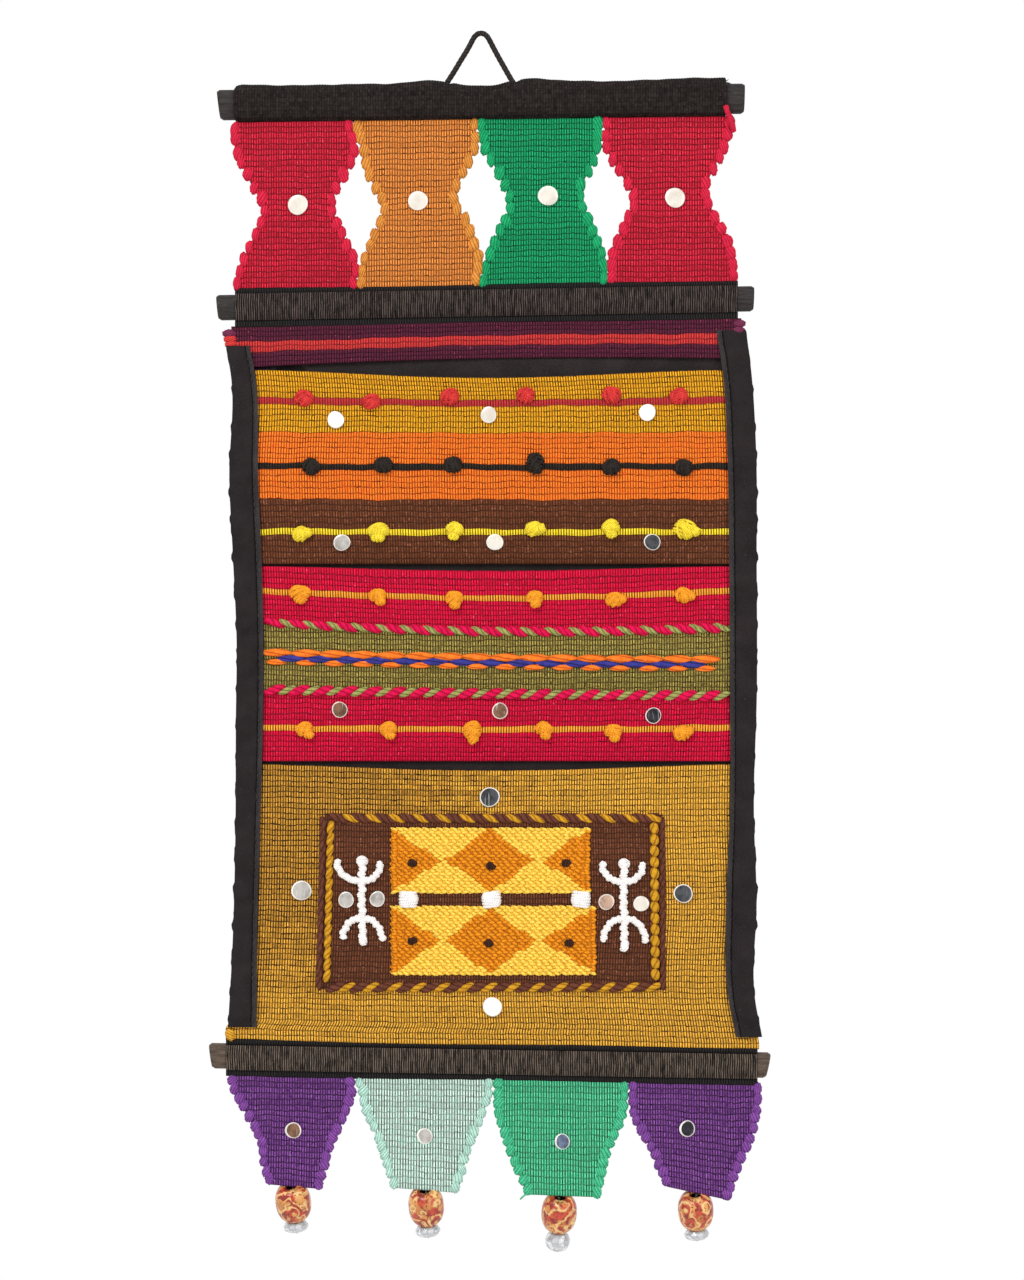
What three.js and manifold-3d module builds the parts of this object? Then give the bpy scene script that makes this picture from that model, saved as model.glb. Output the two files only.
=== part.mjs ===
// A handwoven cotton wall hanging with three letter pockets, held by three half-round rods.
// Millimetres. +Z is up, +X is to the right as it is looked at, and the front faces -Y.
// The origin is where the nail sits, inside the bend of the hanging loop.
import * as THREE from 'three';
import { mergeVertices } from 'three/addons/utils/BufferGeometryUtils.js';
import Module from 'manifold-3d';

const wasm = await Module();
wasm.setup();

// Driving dimensions
const GAP = 0.3;               // between pieces that lie on each other
const WALL_Y = 7.1;            // the plane that the backs of the three rods share
const TAB_THICK = 2.2;         // handloom cotton with thick weft
const POCKET_THICK = 2.4;
const LINING_THICK = 1.0;
const TAPE_THICK = 1.0;        // binding tape, one layer
const STRIP_THICK = 2.0;       // woven strip beside a rod
const SLEEVE_WALL = 2.2;
const SLEEVE_EASE = 0.4;
const WRAP_WALL = 1.0;
const POCKET_Y = 1.1;          // middle of a pocket's cloth where it lies flat
const CORD_D = 3.3;
const THREAD_D = 1.6;
const MIRROR_THICK = 1.6;
const BINDING_INSIDE = 1.7;    // from the tape's fold to the edges that it holds
const SCALLOP_DEEP = 1.6;      // valley between two yarn loops of a selvedge
const SAMPLES_A_LOOP = 3;

// The rods: ends as seen from the front, section height and depth.
const RODS = [
  { name: 'rod_top', left: -165.9, right: 166.5, zLeft: -43.5, zRight: -39.4, high: 19, deep: 9,
    slantLeft: -2.4, slantRight: 0.6 },
  { name: 'rod_middle', left: -166.8, right: 172.5, zLeft: -171.5, zRight: -165.8, high: 16, deep: 9,
    slantLeft: -1.6, slantRight: 0.6 },
  { name: 'rod_bottom', left: -171.0, right: 181.7, zLeft: -645.1, zRight: -651.1, high: 16, deep: 9,
    slantLeft: -2.4, slantRight: 3.4 },
];
const [ROD_TOP, ROD_MIDDLE, ROD_BOTTOM] = RODS;
const ROD_END = { worn: 1.1, along: 1.8 };   // how far a sawn end's edges are worn off

// What goes round each rod: its ends, and how far the woven strips reach above and below the rod's axis.
const SLEEVE = { name: 'sleeve_top', left: -155.5, right: 154.2 };
// How the sleeve's top edge rises where the cord pulls it, and sags between.
const SLEEVE_CREST = [
  { x: -155.5, up: 0.8 }, { x: -60.0, up: 0.3 }, { x: -22.3, up: 1.3 }, { x: -12.0, up: -1.1 },
  { x: 10.0, up: -1.2 }, { x: 21.2, up: 1.5 }, { x: 60.0, up: 0.7 }, { x: 154.2, up: 1.5 },
];
const WRAPS = [
  { name: 'warp_wrap_middle', rod: ROD_MIDDLE, left: -155.5, right: 162.4, above: 11.5, below: 13.0 },
  { name: 'warp_wrap_bottom', rod: ROD_BOTTOM, left: -161.2, right: 174.8, above: 11.0, below: 12.3 },
];
const [WRAP_MIDDLE, WRAP_BOTTOM] = WRAPS;

// Where the threads leave the rod for the strip, and how they swell along the rod.
const WRAP_SHAPE = { neckFront: 0.6, neckBack: 1.2, neckHigh: 0.85, swell: 0.12, perX: 13 };

// Hourglass tabs: left and right edge of each at a few heights, over the tips of the yarn loops.
const UPPER_EDGES = [
  { z: -54.0, red_left: [-158.0, -82.5], ochre: [-82.5, -2.2], green: [-2.2, 77.1], red_right: [77.1, 160.9] },
  { z: -70.0, red_left: [-157.4, -77.5], ochre: [-77.3, -1.0], green: [-0.7, 76.5], red_right: [76.4, 157.4] },
  { z: -84.9, red_left: [-151.0, -82.7], ochre: [-74.1, -8.0], green: [7.6, 71.3], red_right: [83.9, 149.9] },
  { z: -97.5, red_left: [-144.3, -90.1], ochre: [-67.6, -13.9], green: [13.6, 65.2], red_right: [91.8, 144.4] },
  { z: -105.8, red_left: [-139.2, -92.7], ochre: [-63.4, -14.4], green: [16.8, 65.2], red_right: [95.0, 145.0] },
  { z: -116.5, red_left: [-141.4, -88.6], ochre: [-66.0, -7.2], green: [13.3, 70.2], red_right: [90.7, 150.1] },
  { z: -129.1, red_left: [-147.4, -82.8], ochre: [-71.7, -2.4], green: [6.4, 75.0], red_right: [84.6, 157.6] },
  { z: -142.0, red_left: [-153.4, -76.9], ochre: [-76.7, 1.5], green: [1.7, 79.5], red_right: [79.7, 161.2] },
  { z: -157.0, red_left: [-157.0, -79.0], ochre: [-79.0, -1.6], green: [-1.6, 80.0], red_right: [80.0, 162.2] },
];
const UPPER_TABS = [
  { name: 'tab_upper_red_left', edges: 'red_left', curl: 0.7, color: 0xc81932 },
  { name: 'tab_upper_ochre', edges: 'ochre', curl: -0.6, color: 0xcd7d2d },
  { name: 'tab_upper_green', edges: 'green', curl: 0.8, color: 0x0f965a },
  { name: 'tab_upper_red_right', edges: 'red_right', curl: -0.7, color: 0xc81932 },
];
const UPPER_LOOPS = 14;

// Tapered tabs, in the same way, and each hem's height at its left and right corner.
const LOWER_EDGES = [
  { z: -658.5, purple_left: [-161.2, -80.2], mint: [-80.0, 7.5], green: [7.7, 93.4], purple_right: [93.6, 177.3] },
  { z: -667.6, purple_left: [-158.6, -78.9], mint: [-77.4, 7.2], green: [8.0, 92.8], purple_right: [93.6, 177.2] },
  { z: -679.0, purple_left: [-152.6, -82.7], mint: [-75.2, 3.4], green: [8.6, 91.9], purple_right: [94.0, 175.6] },
  { z: -691.6, purple_left: [-145.4, -87.9], mint: [-69.3, -1.6], green: [12.4, 86.4], purple_right: [98.5, 172.4] },
  { z: -704.2, purple_left: [-140.1, -93.6], mint: [-64.7, -6.6], green: [16.7, 81.2], purple_right: [105.3, 166.3] },
  { z: -716.9, purple_left: [-138.6, -96.3], mint: [-60.8, -10.2], green: [21.8, 78.2], purple_right: [110.0, 161.2] },
  { z: -730.0, purple_left: [-134.0, -100.6], mint: [-56.0, -14.8], green: [28.5, 74.8], purple_right: [115.3, 156.6] },
];
const LOWER_TABS = [
  { name: 'tab_lower_purple_left', edges: 'purple_left', hem: [-723.9, -727.2], curl: 0.9, color: 0x5a237d },
  { name: 'tab_lower_mint', edges: 'mint', hem: [-726.0, -729.6], curl: -0.6, color: 0x96c8b4 },
  { name: 'tab_lower_green', edges: 'green', hem: [-730.4, -732.3], curl: 0.6, color: 0x23a56e },
  { name: 'tab_lower_purple_right', edges: 'purple_right', hem: [-724.8, -734.6], curl: -0.9, color: 0x5a237d },
];
const LOWER_LOOPS = 11;

// The folded tapes down both sides: the fold's edge and the inner edge at each height.
const BINDING_LEFT = [
  { z: -196.1, outer: -161.2, inner: -146.0 },
  { z: -214.4, outer: -158.0, inner: -142.6 },
  { z: -280.8, outer: -158.9, inner: -140.6 },
  { z: -331.4, outer: -156.5, inner: -138.5 },
  { z: -381.9, outer: -154.3, inner: -137.3 },
  { z: -432.5, outer: -154.8, inner: -137.6 },
  { z: -508.3, outer: -155.2, inner: -139.7 },
  { z: -577.8, outer: -157.1, inner: -141.4 },
  { z: -626.5, outer: -159.8, inner: -141.6 },
];
const BINDING_RIGHT = [
  { z: -186.0, outer: 167.5, inner: 148.5 },
  { z: -214.4, outer: 171.0, inner: 152.9 },
  { z: -261.8, outer: 173.8, inner: 155.5 },
  { z: -331.4, outer: 174.1, inner: 156.7 },
  { z: -413.5, outer: 174.2, inner: 157.1 },
  { z: -489.4, outer: 172.3, inner: 157.2 },
  { z: -546.2, outer: 174.1, inner: 154.8 },
  { z: -609.4, outer: 173.2, inner: 156.4 },
  { z: -632.8, outer: 177.6, inner: 161.2 },
];

// Pockets: height of the mouth at the sides and at its lowest, of the bottom edge, and how far it gapes.
const POCKETS = {
  upper: { name: 'pocket_upper', mouthSide: -211.3, mouthLow: -217.0, bottom: -334.0, gape: 9.5, color: 0xc89114 },
  middle: { name: 'pocket_middle', mouthSide: -335.3, mouthLow: -338.2, bottom: -458.6, gape: 8.5, color: 0xc30a37 },
  lower: { name: 'pocket_lower', mouthSide: -460.4, mouthLow: -464.0, bottom: -637.0, gape: 8.0, color: 0xbe8c23 },
};
const BAND = { left: -159.4, right: 165.0, bottomLeft: -210.0, bottomRight: -204.0, arch: 3.0 };
const LINING = { top: -200.0, bottom: -628.0 };
const POCKET_COLUMNS = 10;
const ROW_STEP = { flat: 60, bulged: 20 };   // furthest that two rows of a cloth's points lie apart
const FLARE = { left: -161.8, right: 175.1, high: 5.0 };   // where the lowest pocket spreads below the tapes

// Waves of the soft unevenness of everything between the middle and bottom rods, and of the sleeve along its rod.
const SWAY = [{ high: 0.45, perX: 46, perZ: 83, shift: 0 }, { high: 0.35, perX: 71, perZ: -58, shift: 1.3 }];
const RUMPLE = [{ high: 0.35, perX: 17, shift: 0 }, { high: 0.3, perX: 29, shift: 2 }];
const STRIP_WAVE = [{ high: 0.35, perX: 31, shift: 0 }, { high: 0.35, perX: 37, shift: 1 }];
// How a gaping pocket rounds off towards its sides, and below its mouth.
const GAPE_SHAPE = { sides: 0.8, below: 1.8 };

// Rows of knots tied into a laid yarn: their places, and the width, height and rise of a usual knot.
const KNOT = { wide: 12.0, tall: 10.6, rise: 5.0, sunk: 1.2 };
const KNOT_ROWS = [
  { pocket: 'upper', z: -229.1, x: [-111.5, -68.9, -19.6, 28.1, 82.0, 124.7] },
  { pocket: 'upper', z: -272.2, x: [-107.1, -61.5, -17.5, 34.1, 82.2, 127.7] },
  { pocket: 'upper', z: -312.8, x: [-113.1, -64.7, -16.7, 34.1, 82.0, 129.6] },
  { pocket: 'middle', z: -355.3, x: [-114.1, -64.7, -16.7, 34.1, 84.7, 128.3] },
  { pocket: 'middle', z: -439.4, x: [-110.9, -58.3, -5.4, 39.8, 83.6, 127.5] },
];

// Raised lines laid across the middle pocket: a braid, an interlaced chain, a braid.
const CROSS_LINES = [
  { z: -373.5, sag: 2.5, high: 6.0, rise: 1.8 },
  { z: -395.5, sag: 1.8, high: 9.5, rise: 1.6 },
  { z: -414.8, sag: 1.6, high: 6.0, rise: 1.8 },
];

// The embroidered panel of the lower pocket.
const PANEL = { top: -491.3, bottom: -602.8, topX: [-98.2, 115.0], bottomX: [-102.2, 116.0], border: 5.7, rise: 1.7 };
const PANEL_BLOCKS = [
  { left: -56.9, right: 68.9, top: -500.1, bottom: -541.2, rise: 1.5 },
  { left: -56.9, right: 72.7, top: -549.4, bottom: -593.0, rise: 1.5 },
];
const FIGURE = { armSpan: 13.0, armRise: 14.0, body: 23.0, legSpan: 13.0, legDrop: 12.5, head: 17.0, tail: 15.0,
  yarn: 4.4, rise: 2.2 };
const FIGURES = [{ x: -74.8, shoulderZ: -535.0 }, { x: 90.1, shoulderZ: -536.0 }];

// Mirrors: the piece that each lies on, its place and its diameter.
const MIRRORS = [
  { on: 'tab_upper_red_left', x: -115.7, z: -107.0, d: 12.6 },
  { on: 'tab_upper_ochre', x: -39.8, z: -104.5, d: 12.6 },
  { on: 'tab_upper_green', x: 42.3, z: -101.3, d: 12.6 },
  { on: 'tab_upper_red_right', x: 122.6, z: -102.6, d: 12.6 },
  { on: 'pocket_upper', x: -91.3, z: -243.2, d: 11.0 },
  { on: 'pocket_upper', x: 4.9, z: -240.3, d: 10.6 },
  { on: 'pocket_upper', x: 104.7, z: -238.6, d: 10.6 },
  { on: 'pocket_upper', x: -87.8, z: -320.3, d: 10.6 },
  { on: 'pocket_upper', x: 8.8, z: -320.0, d: 10.6 },
  { on: 'pocket_upper', x: 108.1, z: -320.0, d: 10.6 },
  { on: 'pocket_middle', x: -89.1, z: -425.8, d: 10.2 },
  { on: 'pocket_middle', x: 12.0, z: -426.5, d: 10.2 },
  { on: 'pocket_middle', x: 108.7, z: -429.5, d: 10.2 },
  { on: 'pocket_lower', x: 5.5, z: -480.7, d: 12.6 },
  { on: 'pocket_lower', x: -113.1, z: -539.9, d: 12.6 },
  { on: 'pocket_lower', x: 127.5, z: -541.8, d: 12.0 },
  { on: 'pocket_lower', x: 7.2, z: -613.2, d: 12.6 },
  { on: 'pocket_lower', x: -84.9, z: -545.6, d: 10.0 },
  { on: 'pocket_lower', x: -65.2, z: -545.0, d: 10.0 },
  { on: 'pocket_lower', x: 79.0, z: -546.9, d: 10.0 },
  { on: 'pocket_lower', x: 101.0, z: -548.1, d: 10.0 },
  { on: 'tab_lower_purple_left', x: -118.4, z: -691.2, d: 10.2 },
  { on: 'tab_lower_mint', x: -35.4, z: -694.8, d: 10.2 },
  { on: 'tab_lower_green', x: 51.2, z: -698.2, d: 10.2 },
  { on: 'tab_lower_purple_right', x: 130.1, z: -690.3, d: 10.2 },
];
const MIRROR_SIDES = 12;

// A wooden bead and a glass bead on each tab's thread. Their backs rest on the wall, which holds the tab's hem
// forward, and they are tipped so that the top hole looks a little forward. "under" is from hem to bead's middle.
const WOOD_BEAD = { wide: 22.4, tall: 22.0, hole: 7.6, fullness: 0.78 };
const GLASS_BEAD = { wide: 15.2, hole: 2.4, fullness: 0.8, nests: 0.06 };   // share of its height in the wooden one
const BEAD_TIP = THREE.MathUtils.degToRad(20);
const BEAD_DROPS = [
  { x: -118.3, under: 11.6, glass: 7.4, lean: -6 },
  { x: -34.5, under: 11.5, glass: 7.8, lean: -4 },
  { x: 49.3, under: 12.3, glass: 14.0, lean: 3 },
  { x: 135.4, under: 12.9, glass: 7.2, lean: -4 },
];
const BEAD_Y = -5.8;           // middle of a wooden bead
const HEM_Y = -9.5;            // the hem above it
const KNOT_UNDER = 3.0;        // diameter of the knot that holds the beads

// The cord's way from the top of the rod over the nail and back.
const LOOP_ROUTE = [
  { x: -22.3, z: -31.4 }, { x: -20.5, z: -28.2 }, { x: -18.3, z: -24.8 }, { x: -16.0, z: -21.1 },
  { x: -13.7, z: -17.2 }, { x: -11.3, z: -13.3 }, { x: -8.9, z: -9.4 }, { x: -7.1, z: -6.2 },
  { x: -5.7, z: -3.4 }, { x: -4.1, z: -0.6 }, { x: -2.2, z: 1.1 }, { x: 0.0, z: 1.65 },
  { x: 2.2, z: 1.1 }, { x: 4.1, z: -0.6 }, { x: 5.7, z: -3.4 }, { x: 7.1, z: -6.2 },
  { x: 8.8, z: -9.4 }, { x: 10.9, z: -13.3 }, { x: 13.1, z: -17.2 }, { x: 15.3, z: -21.1 },
  { x: 17.4, z: -24.8 }, { x: 19.4, z: -28.2 }, { x: 21.2, z: -31.0 },
];

// Closed meshes and boolean joins
function solidOf(geometry) {
  const bare = new THREE.BufferGeometry();
  bare.setAttribute('position', geometry.getAttribute('position'));
  if (geometry.index) bare.setIndex(geometry.index);
  const merged = mergeVertices(bare, 1e-4);
  return new wasm.Manifold(new wasm.Mesh({
    numProp: 3,
    vertProperties: new Float32Array(merged.getAttribute('position').array),
    triVerts: new Uint32Array(merged.index.array),
  }));
}

function geometryOf(solid) {
  const mesh = solid.getMesh();
  const geometry = new THREE.BufferGeometry();
  geometry.setAttribute('position', new THREE.BufferAttribute(mesh.vertProperties, 3));
  geometry.setIndex(new THREE.BufferAttribute(mesh.triVerts, 1));
  geometry.computeVertexNormals();
  return geometry;
}

function joined(geometry, additions) {
  let solid = solidOf(geometry);
  for (const piece of additions) solid = solid.add(solidOf(piece));
  return geometryOf(solid);
}

function fromPoints(points, triangles) {
  const geometry = new THREE.BufferGeometry();
  geometry.setAttribute('position', new THREE.Float32BufferAttribute(points.flat(), 3));
  geometry.setIndex(triangles.flat());
  geometry.computeVertexNormals();
  return geometry;
}

// A sheet of cloth: front(u, v) and back(u, v) give its two faces, u from left to right and v from top to bottom.
function sheet(us, vs, front, back) {
  const wide = us.length;
  const points = [];
  for (const face of [front, back]) for (const v of vs) for (const u of us) points.push(face(u, v));
  const half = wide * vs.length;
  const at = (i, j) => j * wide + i;
  const triangles = [];
  for (let j = 0; j + 1 < vs.length; j += 1) {
    for (let i = 0; i + 1 < wide; i += 1) {
      const [a, b, c, d] = [at(i, j), at(i + 1, j), at(i + 1, j + 1), at(i, j + 1)];
      triangles.push([a, d, b], [b, d, c], [half + a, half + b, half + d], [half + b, half + c, half + d]);
    }
  }
  const rim = [];
  for (let i = 0; i < wide; i += 1) rim.push(at(i, 0));
  for (let j = 1; j < vs.length; j += 1) rim.push(at(wide - 1, j));
  for (let i = wide - 2; i >= 0; i -= 1) rim.push(at(i, vs.length - 1));
  for (let j = vs.length - 2; j > 0; j -= 1) rim.push(at(0, j));
  rim.forEach((a, k) => {
    const b = rim[(k + 1) % rim.length];
    triangles.push([a, b, half + a], [b, half + b, half + a]);
  });
  return fromPoints(points, triangles);
}

// Rings of the same number of points, one after another, closed with a flat face at each end. The rings follow
// each other along the normal of the plane that flatten() gives, and flatten() drops that direction.
function loft(rings, flatten = ([, y, z]) => [y, z]) {
  const count = rings[0].length;
  const flat = rings[0].map((point) => new THREE.Vector2(...flatten(point)));
  const turned = THREE.ShapeUtils.isClockWise(flat);
  const ordered = turned ? rings.map((ring) => ring.slice().reverse()) : rings;
  if (turned) flat.reverse();
  const triangles = [];
  for (let r = 0; r + 1 < ordered.length; r += 1) {
    for (let k = 0; k < count; k += 1) {
      const [a, b] = [r * count + k, r * count + ((k + 1) % count)];
      triangles.push([a, b, a + count], [b, b + count, a + count]);
    }
  }
  const last = (ordered.length - 1) * count;
  for (const [a, b, c] of THREE.ShapeUtils.triangulateShape(flat, [])) {
    triangles.push([a, c, b], [last + a, last + b, last + c]);
  }
  return fromPoints(ordered.flat(), triangles);
}

const range = (count) => Array.from({ length: count + 1 }, (_, i) => i / count);
const mix = (a, b, t) => a + (b - a) * t;
const clamp01 = (t) => Math.min(1, Math.max(0, t));

// Interpolates a column of a table by its rows' heights, or by another of its columns that runs up or down.
function column(table, key, where, along = 'z') {
  const down = table[0][along] > table.at(-1)[along];
  let k = 0;
  while (k + 2 < table.length && (down ? where < table[k + 1][along] : where > table[k + 1][along])) k += 1;
  const [a, b] = [table[k], table[k + 1]];
  return mix(a[key], b[key], clamp01((where - a[along]) / (b[along] - a[along])));
}

const columnPair = (table, key, side, z) => column(
  table.map((row) => ({ z: row.z, value: row[key][side] })), 'value', z,
);

// The soft unevenness that every layer between the middle and bottom rods shares.
function sway(x, z) {
  return SWAY.reduce((sum, wave) => sum + wave.high * Math.sin(x / wave.perX + z / wave.perZ + wave.shift), 0);
}

// Half-round section in (y, z), as shares of half the depth and half the height, going round once.
const HALF_ROUND = [
  [1, -0.8], [1, 0.8], [0.7, 1], [0, 0.97], [-0.55, 0.82], [-0.9, 0.45],
  [-1, 0], [-0.9, -0.45], [-0.55, -0.82], [0, -0.97], [0.7, -1],
];

const axisZ = (rod, x) => mix(rod.zLeft, rod.zRight, (x - rod.left) / (rod.right - rod.left));

function rodY(rod) {
  const cover = rod === ROD_TOP ? SLEEVE_EASE + SLEEVE_WALL : GAP + WRAP_WALL;
  return WALL_Y - cover - rod.deep / 2;
}

// The rod's section grown by a margin, at place x along it and centred on its axis.
function rodRing(rod, x, margin, lump = 0) {
  const halfDeep = rod.deep / 2 + margin;
  const halfHigh = rod.high / 2 + margin;
  return HALF_ROUND.map(([y, z]) => {
    const swell = z > 0.9 ? lump : 0;
    return [x, rodY(rod) + y * halfDeep, axisZ(rod, x) + z * halfHigh + swell];
  });
}

function rodGeometry(rod) {
  const { worn, along } = ROD_END;
  const stations = [
    { x: rod.left, slant: rod.slantLeft, margin: -worn }, { x: rod.left + along, slant: rod.slantLeft, margin: 0 },
    { x: rod.right - along, slant: rod.slantRight, margin: 0 }, { x: rod.right, slant: rod.slantRight, margin: -worn },
  ];
  return loft(stations.map(({ x, slant, margin }) => rodRing(rod, x, margin)
    .map(([, y, z]) => [x + slant * (z - axisZ(rod, x)) / rod.high, y, z])));
}

// The hole that a casing leaves for its rod, past both ends.
function rodHole(rod, cover, margin) {
  const past = 5;
  return solidOf(loft([rodRing(rod, cover.left - past, margin), rodRing(rod, cover.right + past, margin)]));
}

const route = new THREE.CatmullRomCurve3(LOOP_ROUTE.map(({ x, z }) => new THREE.Vector3(x, rodY(ROD_TOP), z)));

function cordGeometry(curve, diameter, steps, sides) {
  const section = new THREE.Shape();
  for (let k = 0; k < sides; k += 1) {
    const angle = (k / sides) * 2 * Math.PI;
    const [px, py] = [Math.cos(angle) * diameter / 2, Math.sin(angle) * diameter / 2];
    if (k === 0) section.moveTo(px, py);
    else section.lineTo(px, py);
  }
  section.closePath();
  return new THREE.ExtrudeGeometry(section, { steps, extrudePath: curve, bevelEnabled: false });
}

function sleeveGeometry() {
  const margin = SLEEVE_EASE + SLEEVE_WALL;
  const plain = range(10).map((t) => mix(SLEEVE.left, SLEEVE.right, t));
  const stations = [...new Set([...plain, ...SLEEVE_CREST.map((row) => row.x)])].sort((a, b) => a - b);
  const rumple = (x) => RUMPLE.reduce((sum, wave) => sum + wave.high * Math.sin(x / wave.perX + wave.shift), 0);
  const rings = stations.map((x) => {
    const ends = Math.min(x - SLEEVE.left, SLEEVE.right - x) < 1 ? 0.6 : 0;
    return rodRing(ROD_TOP, x, margin - ends, column(SLEEVE_CREST, 'up', x, 'x'))
      .map(([px, y, z], k) => [px, k < 2 ? y : y - 0.25 * rumple(x), z]);
  });
  let solid = solidOf(loft(rings)).subtract(rodHole(ROD_TOP, SLEEVE, SLEEVE_EASE));
  solid = solid.subtract(solidOf(cordGeometry(route, CORD_D + 2 * GAP, 30, 8)));
  return geometryOf(solid);
}

// Edges of the woven strips above and below a rod.
const wavy = ({ high, perX, shift }, x) => high * Math.sin(x / perX + shift);
const stripTop = (wrap, x) => axisZ(wrap.rod, x) + wrap.above + wavy(STRIP_WAVE[0], x);
const stripBottom = (wrap, x) => axisZ(wrap.rod, x) - wrap.below + wavy(STRIP_WAVE[1], x);

// The threads round a rod, drawn together above and below it into a woven strip.
function wrapGeometry(wrap) {
  const { rod } = wrap;
  const margin = GAP + WRAP_WALL;
  const half = STRIP_THICK / 2;
  const { neckFront, neckBack, neckHigh, swell, perX } = WRAP_SHAPE;
  const rings = range(16).map((t) => mix(wrap.left, wrap.right, t)).map((x) => {
    const ring = rodRing(rod, x, margin + swell * Math.sin(x / perX));
    const [centre, axis] = [rodY(rod), axisZ(rod, x)];
    const [up, down] = [stripTop(wrap, x), stripBottom(wrap, x)];
    const neck = rod.high / 2 + margin * neckHigh;
    return [
      [x, WALL_Y, ring[0][2]], [x, WALL_Y, ring[1][2]],
      [x, centre + half + neckBack, axis + neck], [x, centre + half, up], [x, centre - half, up],
      [x, centre - half - neckFront, axis + neck], ...ring.slice(4, 9), [x, centre - half - neckFront, axis - neck],
      [x, centre - half, down], [x, centre + half, down], [x, centre + half + neckBack, axis - neck],
    ];
  });
  return geometryOf(solidOf(loft(rings)).subtract(rodHole(rod, wrap, GAP)));
}

// How far a scalloped edge lies inside its envelope, for a place counted in yarn loops.
const scallop = (loops) => SCALLOP_DEEP * (1 - Math.sqrt(Math.abs(Math.sin(Math.PI * loops))));

// Every tab is a face: edge() gives its left and right edge at a height, top() and bottom() its ends' heights.
function hourglass(tab) {
  const reach = ROD_TOP.high / 2 + SLEEVE_EASE + SLEEVE_WALL + GAP;
  const top = (x) => axisZ(ROD_TOP, x) - reach;
  const bottom = (x) => stripTop(WRAP_MIDDLE, x) + GAP;
  const edge = (side, z) => columnPair(UPPER_EDGES, tab.edges, side, z);
  const [yTop, yBottom] = [rodY(ROD_TOP), rodY(ROD_MIDDLE)];
  const bend = (u, v) => mix(yTop, yBottom, v) + tab.curl * Math.sin(Math.PI * v) * (2 * u - 1);
  return { edge, top, bottom, bend, loops: UPPER_LOOPS };
}

function tapered(tab) {
  const lowest = LOWER_EDGES.at(-1)[tab.edges];
  const top = (x) => stripBottom(WRAP_BOTTOM, x) - GAP;
  const bottom = (x) => mix(tab.hem[0], tab.hem[1], clamp01((x - lowest[0]) / (lowest[1] - lowest[0])));
  const edge = (side, z) => columnPair(LOWER_EDGES, tab.edges, side, z);
  const y = rodY(ROD_BOTTOM);
  const bend = (u, v) => mix(y, HEM_Y, v ** 1.35) + tab.curl * Math.sin(Math.PI * v) * (2 * u - 1);
  return { edge, top, bottom, bend, loops: LOWER_LOOPS };
}

function tabPoint(face, u, v) {
  const inward = scallop(v * face.loops) * (v > 0.01 && v < 0.99 ? 1 : 0);
  const middle = (face.edge(0, face.top(0)) + face.edge(1, face.top(0))) / 2;
  const level = mix(face.top(middle), face.bottom(middle), v);
  const [left, right] = [face.edge(0, level) + GAP / 2 + inward, face.edge(1, level) - GAP / 2 - inward];
  const x = mix(left, right, u);
  return [x, face.bend(u, v), mix(face.top(x), face.bottom(x), v)];
}

function tabGeometry(face) {
  const rows = range(face.loops * SAMPLES_A_LOOP);
  const side = (offset) => (u, v) => {
    const [x, y, z] = tabPoint(face, u, v);
    const edgeThin = u === 0 || u === 1 ? 0.75 : 1;
    return [x, y + offset * edgeThin, z];
  };
  return sheet([0, 0.5, 1], rows, side(-TAB_THICK / 2), side(TAB_THICK / 2));
}

// The tab's cloth at a place, found by its height and its share across.
function tabFront(face, x, z) {
  const v = (face.top(x) - z) / (face.top(x) - face.bottom(x));
  const u = (x - face.edge(0, z)) / (face.edge(1, z) - face.edge(0, z));
  return face.bend(u, v) - TAB_THICK / 2;
}

const heldLeft = (z) => column(BINDING_LEFT, 'outer', z) + BINDING_INSIDE;
const heldRight = (z) => column(BINDING_RIGHT, 'outer', z) - BINDING_INSIDE;

// The inner space between the two tapes, from 0 at the left one to 1 at the right one.
function across(x, z) {
  const [left, right] = [column(BINDING_LEFT, 'inner', z), column(BINDING_RIGHT, 'inner', z)];
  return (x - left) / (right - left);
}

// How far a pocket's cloth stands forward: most at the middle of its mouth, nothing at its sides and bottom.
function bulge(pocket, x, z) {
  const u = across(x, z);
  const v = clamp01((z - pocket.bottom) / (pocket.mouthSide - pocket.bottom));
  if (u <= 0 || u >= 1) return 0;
  return pocket.gape * (4 * u * (1 - u)) ** GAPE_SHAPE.sides * (1 - (1 - v) ** GAPE_SHAPE.below);
}

const pocketMiddle = (pocket, x, z) => POCKET_Y + sway(x, z) - bulge(pocket, x, z);

function mouthZ(pocket, x) {
  const u = clamp01(across(x, pocket.mouthSide));
  return mix(pocket.mouthSide, pocket.mouthLow, Math.sin(Math.PI * u) ** 1.5);
}

// Where a raised line across the middle pocket lies, and how high it stands at a height z.
const lineZ = (line, x) => line.z - line.sag * Math.sin(Math.PI * clamp01(across(x, line.z)));

function lineRows(pocket, x) {
  const lines = pocket === POCKETS.middle ? CROSS_LINES : [];
  return lines.flatMap((line) => {
    const z = lineZ(line, x);
    return [
      { z: z + line.high / 2, rise: 0 }, { z: z + line.high / 4, rise: line.rise },
      { z: z - line.high / 4, rise: line.rise }, { z: z - line.high / 2, rise: 0 },
    ];
  });
}

// The heights of both binding tables that lie between two heights, with those two, at most a step apart.
function heightsBetween(top, bottom, step) {
  const listed = [...BINDING_LEFT, ...BINDING_RIGHT].map((row) => row.z).filter((z) => z < top - 1 && z > bottom + 1);
  const heights = [top, ...new Set(listed), bottom].sort((a, b) => b - a);
  return heights.flatMap((z, k) => {
    if (k === 0) return [z];
    const count = Math.ceil((heights[k - 1] - z) / step);
    return range(count).slice(1).map((t) => mix(heights[k - 1], z, t));
  });
}

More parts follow.
